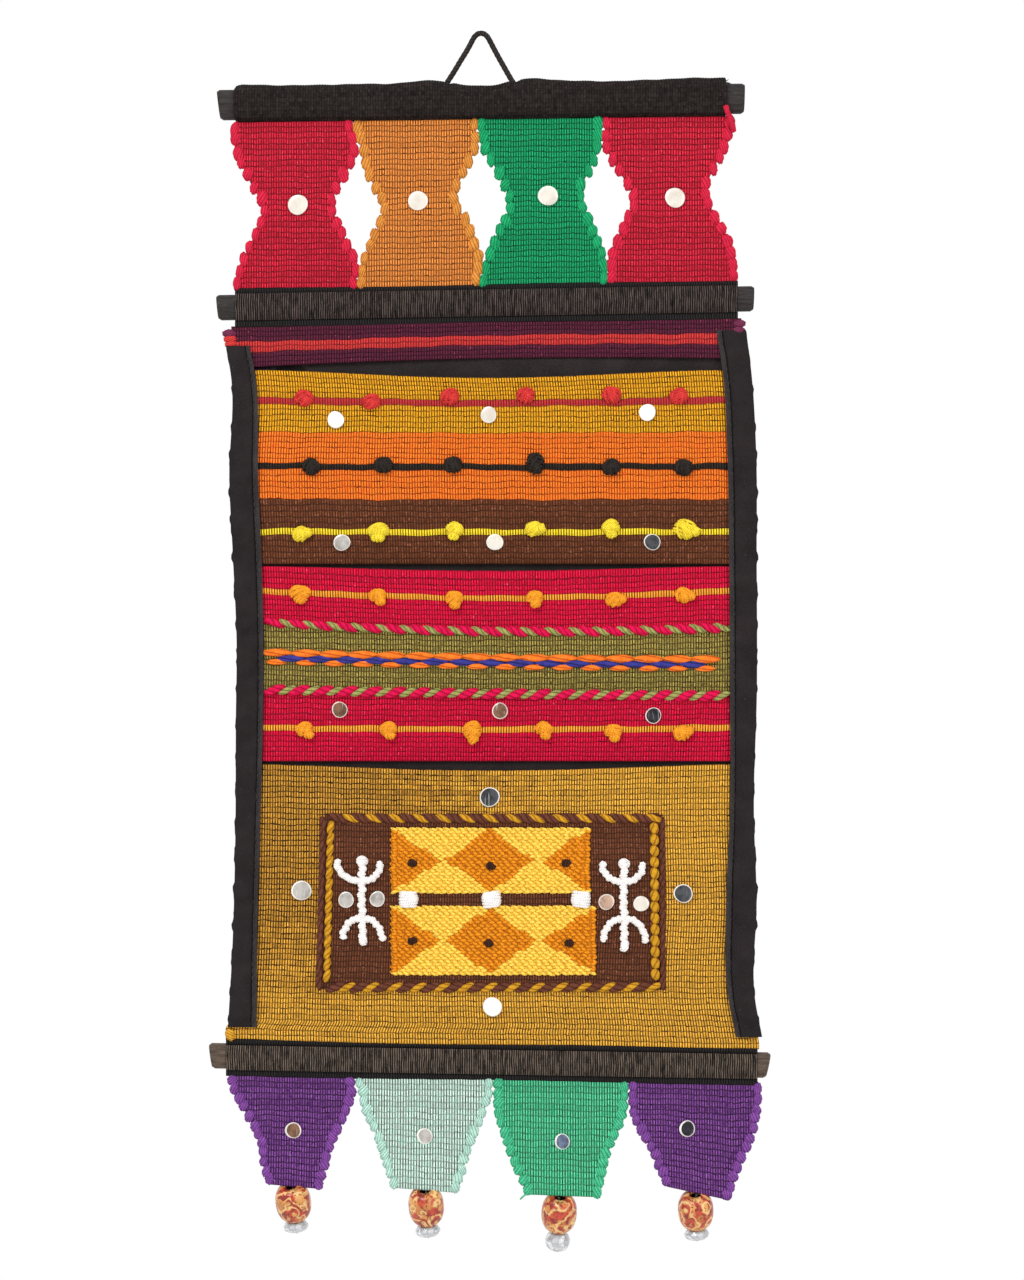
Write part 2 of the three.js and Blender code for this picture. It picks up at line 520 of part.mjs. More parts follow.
// Columns run from -1 and 2, the edges that the tapes hold, by 0 and 1, the tapes' inner edges.
function clothX(u, z) {
  if (u < 0) return heldLeft(z);
  if (u > 1) return heldRight(z);
  return mix(column(BINDING_LEFT, 'inner', z), column(BINDING_RIGHT, 'inner', z), u);
}

function pocketGeometry(pocket) {
  const closer = (t) => mix(t, t * t * (3 - 2 * t), 0.35);
  const us = [-1, ...range(POCKET_COLUMNS).map(closer), 2];
  const place = (u, row) => {
    let { z } = row;
    if (row.mouth) z = mouthZ(pocket, clothX(u, z));
    if (row.line !== undefined) z = lineRows(pocket, clothX(u, z))[row.line].z;
    if (row.hem) {
      const x = u < 0 ? FLARE.left : u > 1 ? FLARE.right : clothX(u, z);
      return [x, stripTop(WRAP_BOTTOM, x) + GAP];
    }
    return [clothX(u, z), z];
  };
  const foot = pocket === POCKETS.lower ? BINDING_RIGHT.at(-1).z + FLARE.high : pocket.bottom;
  let rows = heightsBetween(pocket.mouthSide, foot, ROW_STEP.bulged).map((z, k) => ({ z, mouth: k === 0 }));
  if (pocket === POCKETS.middle) {
    const spread = (from, to, count) => range(count).slice(1, -1).map((t) => ({ z: mix(from, to, t) }));
    const [first, last] = [CROSS_LINES[0], CROSS_LINES.at(-1)];
    rows = [
      rows[0], ...spread(pocket.mouthSide, first.z, 3),
      ...lineRows(pocket, 0).map(({ z }, line) => ({ z, line })),
      ...spread(last.z, pocket.bottom, 3), rows.at(-1),
    ];
  }
  if (pocket === POCKETS.lower) rows.push({ z: pocket.bottom, hem: true });
  const face = (side) => (u, v) => {
    const row = rows[Math.round(v * (rows.length - 1))];
    const [x, z] = place(u, row);
    const raised = side < 0 && row.line !== undefined && u > 0 && u < 1;
    const rise = raised ? lineRows(pocket, x)[row.line].rise : 0;
    return [x, pocketMiddle(pocket, x, z) + side * POCKET_THICK / 2 - rise, z];
  };
  return sheet(us, range(rows.length - 1), face(-1), face(1));
}

const pocketFront = (pocket, x, z) => pocketMiddle(pocket, x, z) - POCKET_THICK / 2;

function knotGeometry(pocket, x, z, size) {
  const knot = new THREE.SphereGeometry(1, 7, 4);
  knot.rotateX(Math.PI / 2);
  knot.scale(KNOT.wide / 2 * size, (KNOT.rise + KNOT.sunk) / 2, KNOT.tall / 2 * size);
  const front = pocketFront(pocket, x, z);
  knot.translate(x, front - (KNOT.rise - KNOT.sunk) / 2, z);
  return knot;
}

// A raised patch that follows a pocket's face: corner(u, v) gives its place, and crest its rise at (u, v).
function patch(pocket, us, vs, corner, crest) {
  const deep = 0.9;
  const front = (u, v) => {
    const [x, z] = corner(u, v);
    return [x, pocketFront(pocket, x, z) - crest(u, v), z];
  };
  const back = (u, v) => {
    const [x, z] = corner(u, v);
    return [x, pocketFront(pocket, x, z) + deep, z];
  };
  return sheet(us, vs, front, back);
}

function panelPatches(pocket) {
  const { top, bottom, topX, bottomX, border, rise } = PANEL;
  const corner = (s, t) => {
    const z = mix(top, bottom, t);
    return [mix(mix(topX[0], bottomX[0], t), mix(topX[1], bottomX[1], t), s), z];
  };
  const [inS, inT] = [border / (topX[1] - topX[0]), border / (top - bottom)];
  const crest = (t) => 0.25 + rise * 4 * t * (1 - t);
  const ridge = [0, 0.5, 1];
  const sides = [
    patch(pocket, range(8), ridge, (u, v) => corner(u, v * inT), (u, v) => crest(v)),
    patch(pocket, range(8), ridge, (u, v) => corner(u, 1 - inT + v * inT), (u, v) => crest(v)),
    patch(pocket, ridge, range(5), (u, v) => corner(u * inS, v), (u) => crest(u)),
    patch(pocket, ridge, range(5), (u, v) => corner(1 - inS + u * inS, v), (u) => crest(u)),
  ];
  const blocks = PANEL_BLOCKS.map((block) => patch(pocket, [0, 0.03, 0.5, 0.97, 1], [0, 0.08, 0.92, 1],
    (u, v) => [mix(block.left, block.right, u), mix(block.top, block.bottom, v)],
    (u, v) => (u % 1 && v % 1 ? block.rise : 0.4)));
  return [...sides, ...blocks];
}

// A couched yarn drawn through a few places, as a low ridge.
function stroke(pocket, places) {
  const curve = new THREE.CatmullRomCurve3(places.map(([x, z]) => new THREE.Vector3(x, 0, z)));
  const steps = places.length * 2 - 2;
  return patch(pocket, [0, 0.25, 0.75, 1], range(steps), (u, v) => {
    const point = curve.getPoint(v);
    const along = curve.getTangent(v);
    const off = (0.5 - u) * FIGURE.yarn;
    return [point.x + along.z * off, point.z - along.x * off];
  }, (u) => (u % 1 ? FIGURE.rise : 0.3));
}

function figurePatches(pocket, { x, shoulderZ }) {
  const { armSpan, armRise, body, legSpan, legDrop, head, tail } = FIGURE;
  const hipZ = shoulderZ - body;
  const bow = (span, z, rise) => [
    [x - span, z + rise], [x - span * 0.82, z + rise * 0.4], [x - span * 0.3, z],
    [x + span * 0.3, z], [x + span * 0.82, z + rise * 0.4], [x + span, z + rise],
  ];
  return [
    stroke(pocket, [[x, hipZ - tail], [x, hipZ], [x, shoulderZ], [x, shoulderZ + head]]),
    stroke(pocket, bow(armSpan, shoulderZ, armRise)),
    stroke(pocket, bow(legSpan, hipZ, -legDrop)),
  ];
}

function dressedPocket(key) {
  const pocket = POCKETS[key];
  const knots = KNOT_ROWS.filter((row) => row.pocket === key)
    .flatMap((row) => row.x.map((x, k) => knotGeometry(pocket, x, row.z - 0.8 * Math.sin(k * 2.1), 1 + 0.06 * Math.sin(k * 3.7))));
  const panel = key === 'lower' ? [...panelPatches(pocket), ...FIGURES.flatMap((f) => figurePatches(pocket, f))] : [];
  return joined(pocketGeometry(pocket), [...knots, ...panel]);
}

function bandGeometry() {
  const lowEdge = (x) => {
    const t = (x - BAND.left) / (BAND.right - BAND.left);
    return mix(BAND.bottomLeft, BAND.bottomRight, t) + BAND.arch * Math.sin(Math.PI * t);
  };
  const settled = 0.42;
  const face = (side) => (u, v) => {
    const near = mix(BAND.left, BAND.right, u);
    const z = mix(stripBottom(WRAP_MIDDLE, near) - GAP, lowEdge(near), v);
    const x = mix(heldLeft(z), heldRight(z), u);
    const settle = mix(rodY(ROD_MIDDLE), POCKET_Y + sway(x, z), clamp01(v / settled));
    return [x, settle + side * POCKET_THICK / 2, z];
  };
  return sheet(range(12), [0, settled / 2, settled, 0.7, 1], face(-1), face(1));
}

function liningGeometry() {
  const y = POCKET_Y + POCKET_THICK / 2 + GAP;
  const heights = heightsBetween(LINING.top, LINING.bottom, ROW_STEP.flat);
  const last = heights.length - 1;
  const face = (offset) => (u, v) => {
    const z = heights[Math.round(v * last)];
    const x = mix(heldLeft(z), heldRight(z), u);
    return [x, y + offset + sway(x, z), z];
  };
  return sheet(range(10), range(last), face(0), face(LINING_THICK));
}

// A tape folded over the side edges of lining, band and pockets.
function bindingGeometry(table, side) {
  const front = POCKET_Y - POCKET_THICK / 2 - GAP;
  const back = POCKET_Y + POCKET_THICK / 2 + LINING_THICK + 2 * GAP;
  const rings = heightsBetween(table[0].z, table.at(-1).z, ROW_STEP.flat).reverse().map((z) => {
    const [outer, inner] = [column(table, 'outer', z), column(table, 'inner', z)];
    const fold = outer + side * TAPE_THICK;
    const soft = outer + side * TAPE_THICK * 1.4;
    const shift = (x, y) => [x, y + sway(x, z), z];
    return [
      shift(inner, front), shift(inner, front - TAPE_THICK), shift(soft, front - TAPE_THICK), shift(outer, front),
      shift(outer, back), shift(soft, back + TAPE_THICK), shift(inner, back + TAPE_THICK), shift(inner, back),
      shift(fold, back), shift(fold, front),
    ];
  });
  return loft(rings, ([x, y]) => [x, y]);
}

function mirrorMesh(spec, index, frontAt) {
  const disc = new THREE.CylinderGeometry(spec.d / 2, spec.d / 2, MIRROR_THICK, MIRROR_SIDES);
  const step = 3;
  const [x, z] = [spec.x, spec.z];
  const slopeX = (frontAt(x + step, z) - frontAt(x - step, z)) / (2 * step);
  const slopeZ = (frontAt(x, z + step) - frontAt(x, z - step)) / (2 * step);
  const outward = new THREE.Vector3(slopeX, -1, slopeZ).normalize();
  const mesh = named(`mirror_${String(index + 1).padStart(2, '0')}`, disc, FINISH.mirror);
  mesh.quaternion.setFromUnitVectors(new THREE.Vector3(0, 1, 0), outward);
  const seat = new THREE.Vector3(x, frontAt(x, z), z);
  mesh.position.copy(seat.addScaledVector(outward, GAP + 0.05 + MIRROR_THICK / 2));
  return mesh;
}

// A barrel turned about its own axis, with a hole through it.
function beadGeometry({ wide, hole, fullness }, tall, sides, bands) {
  const profile = [];
  const reach = Math.acos(Math.min(1, (hole + 1.6) / wide));
  for (let k = 0; k <= bands; k += 1) {
    const angle = mix(-reach, reach, k / bands);
    const r = wide / 2 * Math.cos(angle) ** fullness;
    profile.push(new THREE.Vector2(r, tall / 2 * Math.sin(angle) / Math.sin(reach)));
  }
  profile.push(new THREE.Vector2(hole / 2, tall / 2 - 0.4), new THREE.Vector2(hole / 2, -tall / 2 + 0.4));
  profile.push(profile[0].clone());
  const geometry = new THREE.LatheGeometry(profile, sides);
  geometry.rotateX(Math.PI / 2);
  return geometryOf(solidOf(geometry));
}

function beadDrop(drop, index, hemY, hemZ) {
  const group = new THREE.Group();
  group.position.set(drop.x, BEAD_Y, hemZ - drop.under);
  group.rotation.set(BEAD_TIP, THREE.MathUtils.degToRad(drop.lean), 0, 'YXZ');
  const wood = beadGeometry(WOOD_BEAD, WOOD_BEAD.tall, 14, 8);
  const glass = beadGeometry(GLASS_BEAD, drop.glass, 10, 4);
  const glassZ = -(WOOD_BEAD.tall + drop.glass) / 2 + drop.glass * GLASS_BEAD.nests - GAP;
  glass.translate(0, 0, glassZ);
  group.add(named(`wood_bead_${index + 1}`, wood, FINISH.wood));
  group.add(named(`glass_bead_${index + 1}`, glass, FINISH.glass));
  group.updateMatrixWorld(true);
  const hem = group.worldToLocal(new THREE.Vector3(drop.x, hemY, hemZ - GAP));
  const knotZ = glassZ - drop.glass / 2 - KNOT_UNDER / 3;
  const way = new THREE.CatmullRomCurve3([
    hem, new THREE.Vector3(hem.x * 0.4, hem.y * 0.4, WOOD_BEAD.tall / 2 - 2),
    new THREE.Vector3(0, 0, 0), new THREE.Vector3(0, 0, glassZ), new THREE.Vector3(0, 0, knotZ),
  ]);
  const knot = new THREE.SphereGeometry(KNOT_UNDER / 2, 7, 4);
  knot.translate(0, 0, knotZ);
  const thread = joined(cordGeometry(way, THREAD_D, 9, 6), [knot]);
  group.add(named(`bead_thread_${index + 1}`, thread, FINISH.black));
  return group;
}

function finish(color, roughness, metalness = 0) {
  return new THREE.MeshStandardMaterial({ color, roughness, metalness });
}

const FINISH = {
  black: finish(0x1c1a1a, 0.95),
  warp: finish(0x37322d, 0.9),
  tape: finish(0x262628, 0.95),
  rod: finish(0x3a3530, 0.7),
  plum: finish(0x4b1e32, 0.95),
  mirror: finish(0xdcdcd8, 0.05, 1),
  wood: finish(0xe1aa69, 0.35),
  glass: new THREE.MeshStandardMaterial({ color: 0xf2f6f6, roughness: 0.05, transparent: true, opacity: 0.4 }),
};

function named(name, geometry, material) {
  const mesh = new THREE.Mesh(geometry, material.clone());
  mesh.name = name;
  return mesh;
}

const hanging = new THREE.Group();
const fronts = new Map();

hanging.add(named('hanging_loop', cordGeometry(route, CORD_D, 30, 8), FINISH.black));
for (const rod of RODS) hanging.add(named(rod.name, rodGeometry(rod), FINISH.rod));
hanging.add(named(SLEEVE.name, sleeveGeometry(), FINISH.black));
for (const wrap of WRAPS) hanging.add(named(wrap.name, wrapGeometry(wrap), FINISH.warp));

const tabFaces = [
  ...UPPER_TABS.map((tab) => ({ tab, face: hourglass(tab) })),
  ...LOWER_TABS.map((tab) => ({ tab, face: tapered(tab) })),
];
for (const { tab, face } of tabFaces) {
  hanging.add(named(tab.name, tabGeometry(face), finish(tab.color, 0.95)));
  fronts.set(tab.name, (x, z) => tabFront(face, x, z));
}

hanging.add(named('stripe_band', bandGeometry(), FINISH.plum));
hanging.add(named('lining', liningGeometry(), FINISH.tape));
for (const key of Object.keys(POCKETS)) {
  const pocket = POCKETS[key];
  hanging.add(named(pocket.name, dressedPocket(key), finish(pocket.color, 0.95)));
  fronts.set(pocket.name, (x, z) => pocketFront(pocket, x, z));
}
hanging.add(named('binding_left', bindingGeometry(BINDING_LEFT, 1), FINISH.tape));
hanging.add(named('binding_right', bindingGeometry(BINDING_RIGHT, -1), FINISH.tape));

BEAD_DROPS.forEach((drop, index) => {
  const { face } = tabFaces[UPPER_TABS.length + index];
  const hemZ = face.bottom(drop.x);
  hanging.add(beadDrop(drop, index, tabFront(face, drop.x, hemZ) + TAB_THICK / 2, hemZ));
});

MIRRORS.forEach((spec, index) => hanging.add(mirrorMesh(spec, index, fronts.get(spec.on))));

export default hanging;
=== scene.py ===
"""Looks of the pocketed cotton wall tapestry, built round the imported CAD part.

Lengths are millimetres in the part's own frame: +X right, +Z up, front toward -Y, nail seat at the origin.
Every cloth is a relief grid that follows its own warps and rows. Yarns, selvedge loops, knots, braids,
stitches and beads are modelled on top of the cloth that carries them.
"""
import math
from collections import namedtuple

import bpy
import numpy as np
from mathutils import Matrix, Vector


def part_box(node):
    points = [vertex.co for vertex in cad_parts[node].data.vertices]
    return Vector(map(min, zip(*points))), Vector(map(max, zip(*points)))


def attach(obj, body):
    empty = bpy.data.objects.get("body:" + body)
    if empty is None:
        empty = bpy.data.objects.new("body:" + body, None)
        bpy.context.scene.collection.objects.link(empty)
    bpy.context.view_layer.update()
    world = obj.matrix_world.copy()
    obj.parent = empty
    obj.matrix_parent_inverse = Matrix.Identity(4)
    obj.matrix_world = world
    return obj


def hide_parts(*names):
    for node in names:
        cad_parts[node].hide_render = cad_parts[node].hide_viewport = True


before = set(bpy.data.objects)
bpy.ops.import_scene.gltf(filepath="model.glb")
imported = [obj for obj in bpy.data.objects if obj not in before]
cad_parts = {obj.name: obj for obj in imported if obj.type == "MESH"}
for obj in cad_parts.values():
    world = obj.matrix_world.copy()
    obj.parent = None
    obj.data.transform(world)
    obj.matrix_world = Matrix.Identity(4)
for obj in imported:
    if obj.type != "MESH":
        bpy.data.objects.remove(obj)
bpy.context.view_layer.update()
PI, TAU = math.pi, 2 * math.pi
SCENE = bpy.context.scene


# camera and light
CAMERA_AT, CAMERA_LENS = (.0196, -1.9, -.3819), 84.55
LIGHT_AIM = (0, 0, -.38)


def place_camera():
    camera = bpy.data.objects.new("camera", bpy.data.cameras.new("camera"))
    camera.data.sensor_width, camera.data.lens = 36, CAMERA_LENS
    camera.location, camera.rotation_euler = CAMERA_AT, (PI / 2, 0, 0)
    SCENE.collection.objects.link(camera)
    SCENE.camera = camera
    SCENE.view_settings.view_transform = "Standard"


def area_light(name, place, size, power):
    lamp = bpy.data.objects.new(name, bpy.data.lights.new(name, "AREA"))
    lamp.data.size, lamp.data.energy = size, power
    lamp.location = place
    lamp.rotation_euler = (Vector(LIGHT_AIM) - Vector(place)).to_track_quat("-Z", "Y").to_euler()
    SCENE.collection.objects.link(lamp)


def white_world():
    world = bpy.data.worlds.new("studio")
    world.use_nodes = True
    background = world.node_tree.nodes["Background"].inputs
    background["Color"].default_value = (1, 1, 1, 1)
    background["Strength"].default_value = 1.0
    SCENE.world = world


place_camera()
area_light("key", (-1.1, -2.2, 1.4), 1.1, 46)
area_light("fill", (1.7, -1.9, -.2), 1.6, 13)
white_world()


# shaders
LIT = .97    # the studio light lifts every colour a little above its own tone


def tint(colour):
    """An sRGB colour as it looks under this light, 0 to 255, as the linear colour that a shader takes."""
    parts = [c / 255 for c in colour]
    linear = [c / 12.92 if c <= .04045 else ((c + .055) / 1.055) ** 2.4 for c in parts]
    return tuple(LIT * c for c in linear) + (1,)


def paler(linear, gain, lift):
    return tuple(min(1, c * gain + lift) for c in linear[:3]) + (1,)


class Shader:
    """A node tree written as calls; each call gives back its output socket."""

    def __init__(self, name):
        self.mat = bpy.data.materials.new(name)
        self.mat.use_nodes = True
        self.tree = self.mat.node_tree
        self.tree.nodes.clear()

    def add(self, kind, inputs, out=0, **settings):
        node = self.tree.nodes.new("ShaderNode" + kind)
        for key, value in settings.items():
            setattr(node, key, value)
        for key, value in inputs.items():
            if isinstance(value, bpy.types.NodeSocket):
                self.tree.links.new(value, node.inputs[key])
            else:
                node.inputs[key].default_value = value
        return node.outputs[out]

    def math(self, op, a, b=0.0):
        return self.add("Math", {0: a, 1: b}, operation=op)

    def plus(self, a, b):
        return self.math("ADD", a, b)

    def minus(self, a, b):
        return self.math("SUBTRACT", a, b)

    def times(self, a, b):
        return self.math("MULTIPLY", a, b)

    def from_middle(self, x):
        """Distance from the middle of its own cell, 0 to .5, for a value that counts cells."""
        return self.math("ABSOLUTE", self.minus(self.math("FRACT", x), .5))

    def ease(self, x, low, high, start=0.0, end=1.0):
        ends = {0: x, 1: low, 2: high, 3: start, 4: end}
        return self.add("MapRange", ends, interpolation_type="SMOOTHSTEP")

    def mix(self, amount, a, b):
        return self.add("Mix", {0: amount, 6: a, 7: b}, out=2, data_type="RGBA")

    def value(self, colour, value):
        return self.add("HueSaturation", {"Value": value, "Color": colour})

    def noise(self, scale, detail=2.0, vector=None, rough=.5, spread=0.0, out=0):
        inputs = {"Vector": self.place() if vector is None else vector, "Scale": scale, "Detail": detail,
                  "Roughness": rough, "Distortion": spread}
        return self.add("TexNoise", inputs, out=out)

    def lot(self, a, b=None):
        """A random value, 0 to 1, for each whole number a or pair a, b."""
        if b is None:
            return self.add("TexWhiteNoise", {"W": a}, noise_dimensions="1D")
        pair = self.add("CombineXYZ", {0: a, 1: b})
        return self.add("TexWhiteNoise", {"Vector": pair}, noise_dimensions="3D")

    def place(self):
        return self.add("TexCoord", {}, out=3)

    def stretched_place(self, scale):
        return self.add("Mapping", {0: self.place(), 3: scale})

    def weave_uv(self):
        both = self.add("SeparateXYZ", {0: self.add("UVMap", {}, uv_map="weave")})
        return both, both.node.outputs[1]

    def finish(self, colour, rough, height=None, deep=.0004, strength=.7, **sockets):
        inputs = {"Base Color": colour, "Roughness": rough, "Specular IOR Level": .12}
        inputs.update({key.replace("_", " "): value for key, value in sockets.items()})
        if height is not None:
            inputs["Normal"] = self.add("Bump", {"Strength": strength, "Distance": deep, "Height": height})
        output = self.tree.nodes.new("ShaderNodeOutputMaterial")
        self.tree.links.new(self.add("BsdfPrincipled", inputs), output.inputs[0])
        return self.mat


def weave(name, light, dark, gap, speck=None, speck_share=0.0, ribs=1.0, rows=1.0, vary=.2):
    """Thick soft weft over thin warp: ribs between the warps, a fine dark line under every row."""
    s = Shader(name)
    light, dark, gap = tint(light), tint(dark), tint(gap)
    u, v = s.weave_uv()
    column, row = s.math("FLOOR", u), s.math("FLOOR", v)
    cell, band = s.lot(column, row), s.lot(row)
    fine, lump, broad = s.noise(1400, 3, rough=.65), s.noise(330), s.noise(26)
    wobble, across = s.minus(lump, .5), s.from_middle(u)
    # the gaps between ribs and under rows are warp colour deepened into painted shade
    split = s.times(s.ease(s.plus(across, s.times(wobble, .34)), .16, .42), ribs)
    line = s.times(s.ease(s.plus(s.from_middle(v), s.times(wobble, .26)), .32, .47), rows)
    split = s.times(split, s.plus(s.times(cell, .3), .74))
    line = s.times(line, s.plus(s.times(cell, .4), .62))
    shade = s.math("MAXIMUM", split, line)
    thread = s.mix(s.ease(s.plus(s.times(fine, .55), s.times(lump, .55)), .36, .66), dark, light)
    mood = s.plus(s.times(cell, 1.3), s.plus(s.times(band, .5), s.times(broad, .6)))
    thread = s.value(thread, s.plus(s.times(mood, vary), 1 - vary))
    hair = s.noise(2300, rough=.8)
    thread = s.value(thread, s.ease(hair, .3, .7, 1 - vary * .9, 1 + vary * .9))
    if speck:
        fleck = s.plus(s.noise(520, rough=.6), s.times(cell, .1))
        thread = s.mix(s.ease(fleck, .74 - speck_share, .82 - speck_share), thread, tint(speck))
    lint = s.ease(s.noise(950, 3, spread=1.2), .71, .77)
    colour = s.mix(s.times(lint, .4), s.mix(shade, thread, gap), paler(light, 1.5, .12))
    roundness = s.plus(s.times(fine, .35), s.times(s.minus(.5, across), 1.2))
    return s.finish(colour, .92, s.minus(roundness, s.times(shade, .8)), .0005, .6)


def yarn(name, light, dark, plies=2, lean=1.0):
    """Plied soft yarn; u runs round it in turns and v along it in millimetres."""
    s = Shader(name)
    light, dark = tint(light), tint(dark)
    u, v = s.weave_uv()
    fine, soft = s.noise(1500, 3, rough=.7), s.noise(320)
    turn = s.plus(s.times(u, plies), s.times(v, lean))
    groove = s.ease(s.from_middle(s.plus(turn, s.times(soft, .3))), .28, .5)
    between = tuple((a + b) / 2 for a, b in zip(light, dark))
    body = s.mix(s.ease(s.plus(s.times(fine, .6), s.times(soft, .5)), .38, .7), between, light)
    # painted shade: the grooves between the plies are darkened
    colour = s.mix(s.times(groove, .75), body, dark)
    return s.finish(colour, .85, s.minus(s.times(fine, .5), groove), .0005, .7)


def bare_warp(name, light, gap):
    """Unwoven warp threads side by side; u counts the threads and v runs along them."""
    s = Shader(name)
    light, gap = tint(light), tint(gap)
    u, v = s.weave_uv()
    thread = s.math("FLOOR", u)
    shade = s.lot(thread)
    clump = s.add("TexNoise", {"W": s.times(thread, .37), "Scale": 1.0, "Detail": 2.0}, noise_dimensions="1D")
    fuzz = s.noise(1300, 3, rough=.7)
    drift = s.add("CombineXYZ", {0: s.times(u, .8), 1: s.times(v, .11)})
    patch = s.ease(s.noise(1.0, 3, drift, rough=.6), .28, .72)
    # lighter strokes along the threads: uneven yarn, and partly painted highlight on the dark yarn
    tone = s.plus(s.times(shade, .2), s.plus(s.times(clump, .16), s.times(patch, .4)))
    thread_colour = s.mix(s.ease(s.plus(tone, s.times(fuzz, .5)), .26, .98), gap, light)
    # the gaps between threads: the dark rod behind them, deepened by painted shade
    split = s.ease(s.plus(s.from_middle(u), s.times(shade, .14)), .2, .46)
    colour = s.mix(s.times(split, .95), thread_colour, gap)
    return s.finish(colour, .8, s.minus(s.times(fuzz, .5), split), .0005, .7)


def fabric(name, light, dark):
    """Fine plain cloth or tape: a close over-and-under weave with a little lint."""
    s = Shader(name)
    light, dark = tint(light), tint(dark)
    threads = TAU * 700
    parts = s.add("SeparateXYZ", {0: s.place()})
    wave_x = s.math("SINE", s.times(parts, threads))
    wave_z = s.math("SINE", s.times(parts.node.outputs[2], threads))
    check = s.times(wave_x, wave_z)
    fine, broad = s.noise(1800, 3, rough=.7), s.noise(60, 3)
    lint = s.ease(s.noise(900, 4, spread=1.5), .66, .74)
    mottle = s.plus(s.times(check, .25), s.plus(fine, s.times(broad, .5)))
    colour = s.mix(s.ease(mottle, .4, 1.15), dark, light)
    colour = s.mix(s.times(lint, .3), colour, paler(light, 3, .05))
    return s.finish(colour, .95, s.plus(check, s.times(fine, 1.2)), .0002, .5)


def rod_stain(name, light, dark):
    """Dark stain over grain along X, worn through here and there; inside a bead's bore, painted shade."""
    s = Shader(name)
    spot = s.stretched_place((1, 9, 9))
    grain = s.noise(70, 5, spot, rough=.65, spread=.6)
    pores = s.noise(420, 3, spot, rough=.7)
    colour = s.mix(s.ease(grain, .3, .75), tint(dark), tint(light))
    colour = s.mix(s.times(s.ease(pores, .58, .7), .7), colour, tint((18, 16, 14)))
    worn = s.times(s.ease(s.noise(240, 4), .62, .76), .2)
    colour = s.mix(worn, colour, tint((140, 118, 88)))
    return s.finish(colour, s.ease(grain, .3, .7, .5, .75), s.plus(grain, pores), .0003, .5)


def painted_wood():
    """Tan lacquered bead with red-brown marbled rings and fine dark specks."""
    s = Shader("painted_wood")
    swirl = s.noise(95, spread=.5, out=1)
    shift = s.add("VectorMath", {0: swirl, 3: .012}, operation="SCALE")
    where = s.add("VectorMath", {0: s.place(), 1: shift}, operation="ADD")
    eye = s.add("TexVoronoi", {"Vector": where, "Scale": 58.0}, feature="F1")
    rings = s.math("SINE", s.times(eye, 25.0))
    patches = s.noise(135, 3, where)
    mark = s.times(s.ease(rings, -.35, -.05), s.ease(patches, .42, .48))
    colour = s.mix(s.ease(s.noise(80, 3), .35, .65), tint((178, 110, 56)), tint((212, 154, 86)))
    colour = s.mix(s.times(s.ease(rings, -.95, -.7, 1, 0), .45), colour, tint((246, 220, 160)))
    stain = s.mix(s.ease(s.noise(240, 3), .4, .62), tint((186, 66, 44)), tint((132, 38, 30)))
    colour = s.mix(mark, colour, stain)
    colour = s.mix(s.ease(s.noise(620), .6, .66), colour, tint((96, 48, 30)))
    lacquer = {"Specular_IOR_Level": .35, "Coat_Weight": .2, "Coat_Roughness": .12}
    return s.finish(colour, .28, s.minus(patches, mark), .0002, .3, **lacquer)


def glass():
    """Clear cut glass; u and v count its facets. Painted reflection and shade: a grey for each, darker seams.
    """
    s = Shader("glass")
    u, v = s.weave_uv()
    # painted reflection and shade: a random grey for each facet
    facet_shade = s.lot(s.math("FLOOR", u), s.math("FLOOR", v))
    haze_and_reflection = s.noise(420, 3)
    # painted shade: a darker seam along each facet's edge
    seam = s.ease(s.from_middle(u), .36, .5)
    colour = s.mix(facet_shade, tint((212, 214, 217)), tint((152, 156, 161)))
    colour = s.mix(s.times(seam, .5), colour, tint((122, 126, 132)))
    # painted highlights: white patches over the glass
    colour = s.mix(s.ease(haze_and_reflection, .58, .75), colour, tint((246, 246, 248)))
    clear = {"Transmission_Weight": .12, "IOR": 1.5, "Specular_IOR_Level": .5}
    return s.finish(colour, s.ease(haze_and_reflection, .35, .8, .05, .14), haze_and_reflection, .0001, .12, **clear)


def mirror(name, light, dark, shine):
    """Small silvered disc: clear inside, scratched, coloured by a painted reflection mottled light and dark.
    """
    s = Shader(name)
    haze_and_reflection = s.noise(130, 4, rough=.6)
    scratch = s.ease(s.noise(900, 2, s.stretched_place((1, 1, .12))), .62, .7)
    # painted reflection: the disc's colour, mottled between its light and dark
    colour = s.mix(s.ease(haze_and_reflection, .35, .68), tint(light), tint(dark))
    colour = s.mix(s.times(scratch, .25), colour, tint((250, 250, 248)))
    return s.finish(colour, s.ease(haze_and_reflection, .3, .7, .16, .34), scratch, .00005, .3, Metallic=shine)


def floor_paint():
    s = Shader("floor")
    return s.finish(s.mix(s.noise(3, 3), tint((232, 230, 226)), tint((240, 239, 236))), .9)


# the looks of each piece: light, dark and the gap between threads, warp colour deepened by painted shade
RED = weave("red", (216, 38, 62), (158, 22, 42), (46, 6, 12), (226, 84, 100), .02, .95, .95, .36)
OCHRE = weave("ochre", (230, 142, 66), (188, 106, 44), (70, 34, 14), vary=.26)
GREEN = weave("green", (30, 164, 104), (12, 122, 74), (4, 36, 24), vary=.26)
PURPLE = weave("purple", (124, 72, 142), (74, 34, 92), (20, 8, 28), (160, 112, 180), .04, vary=.42)
MINT = weave("mint", (206, 224, 212), (158, 196, 180), (44, 66, 60), rows=.7, ribs=1.05, vary=.28)
SEA = weave("sea", (92, 196, 148), (48, 156, 108), (10, 52, 38), rows=.75, ribs=1.05, vary=.32)
PLUM = weave("plum", (98, 36, 58), (66, 22, 42), (24, 8, 16), (150, 60, 84), .05)
BAND_RED = weave("band_red", (214, 62, 58), (172, 42, 44), (86, 18, 24))
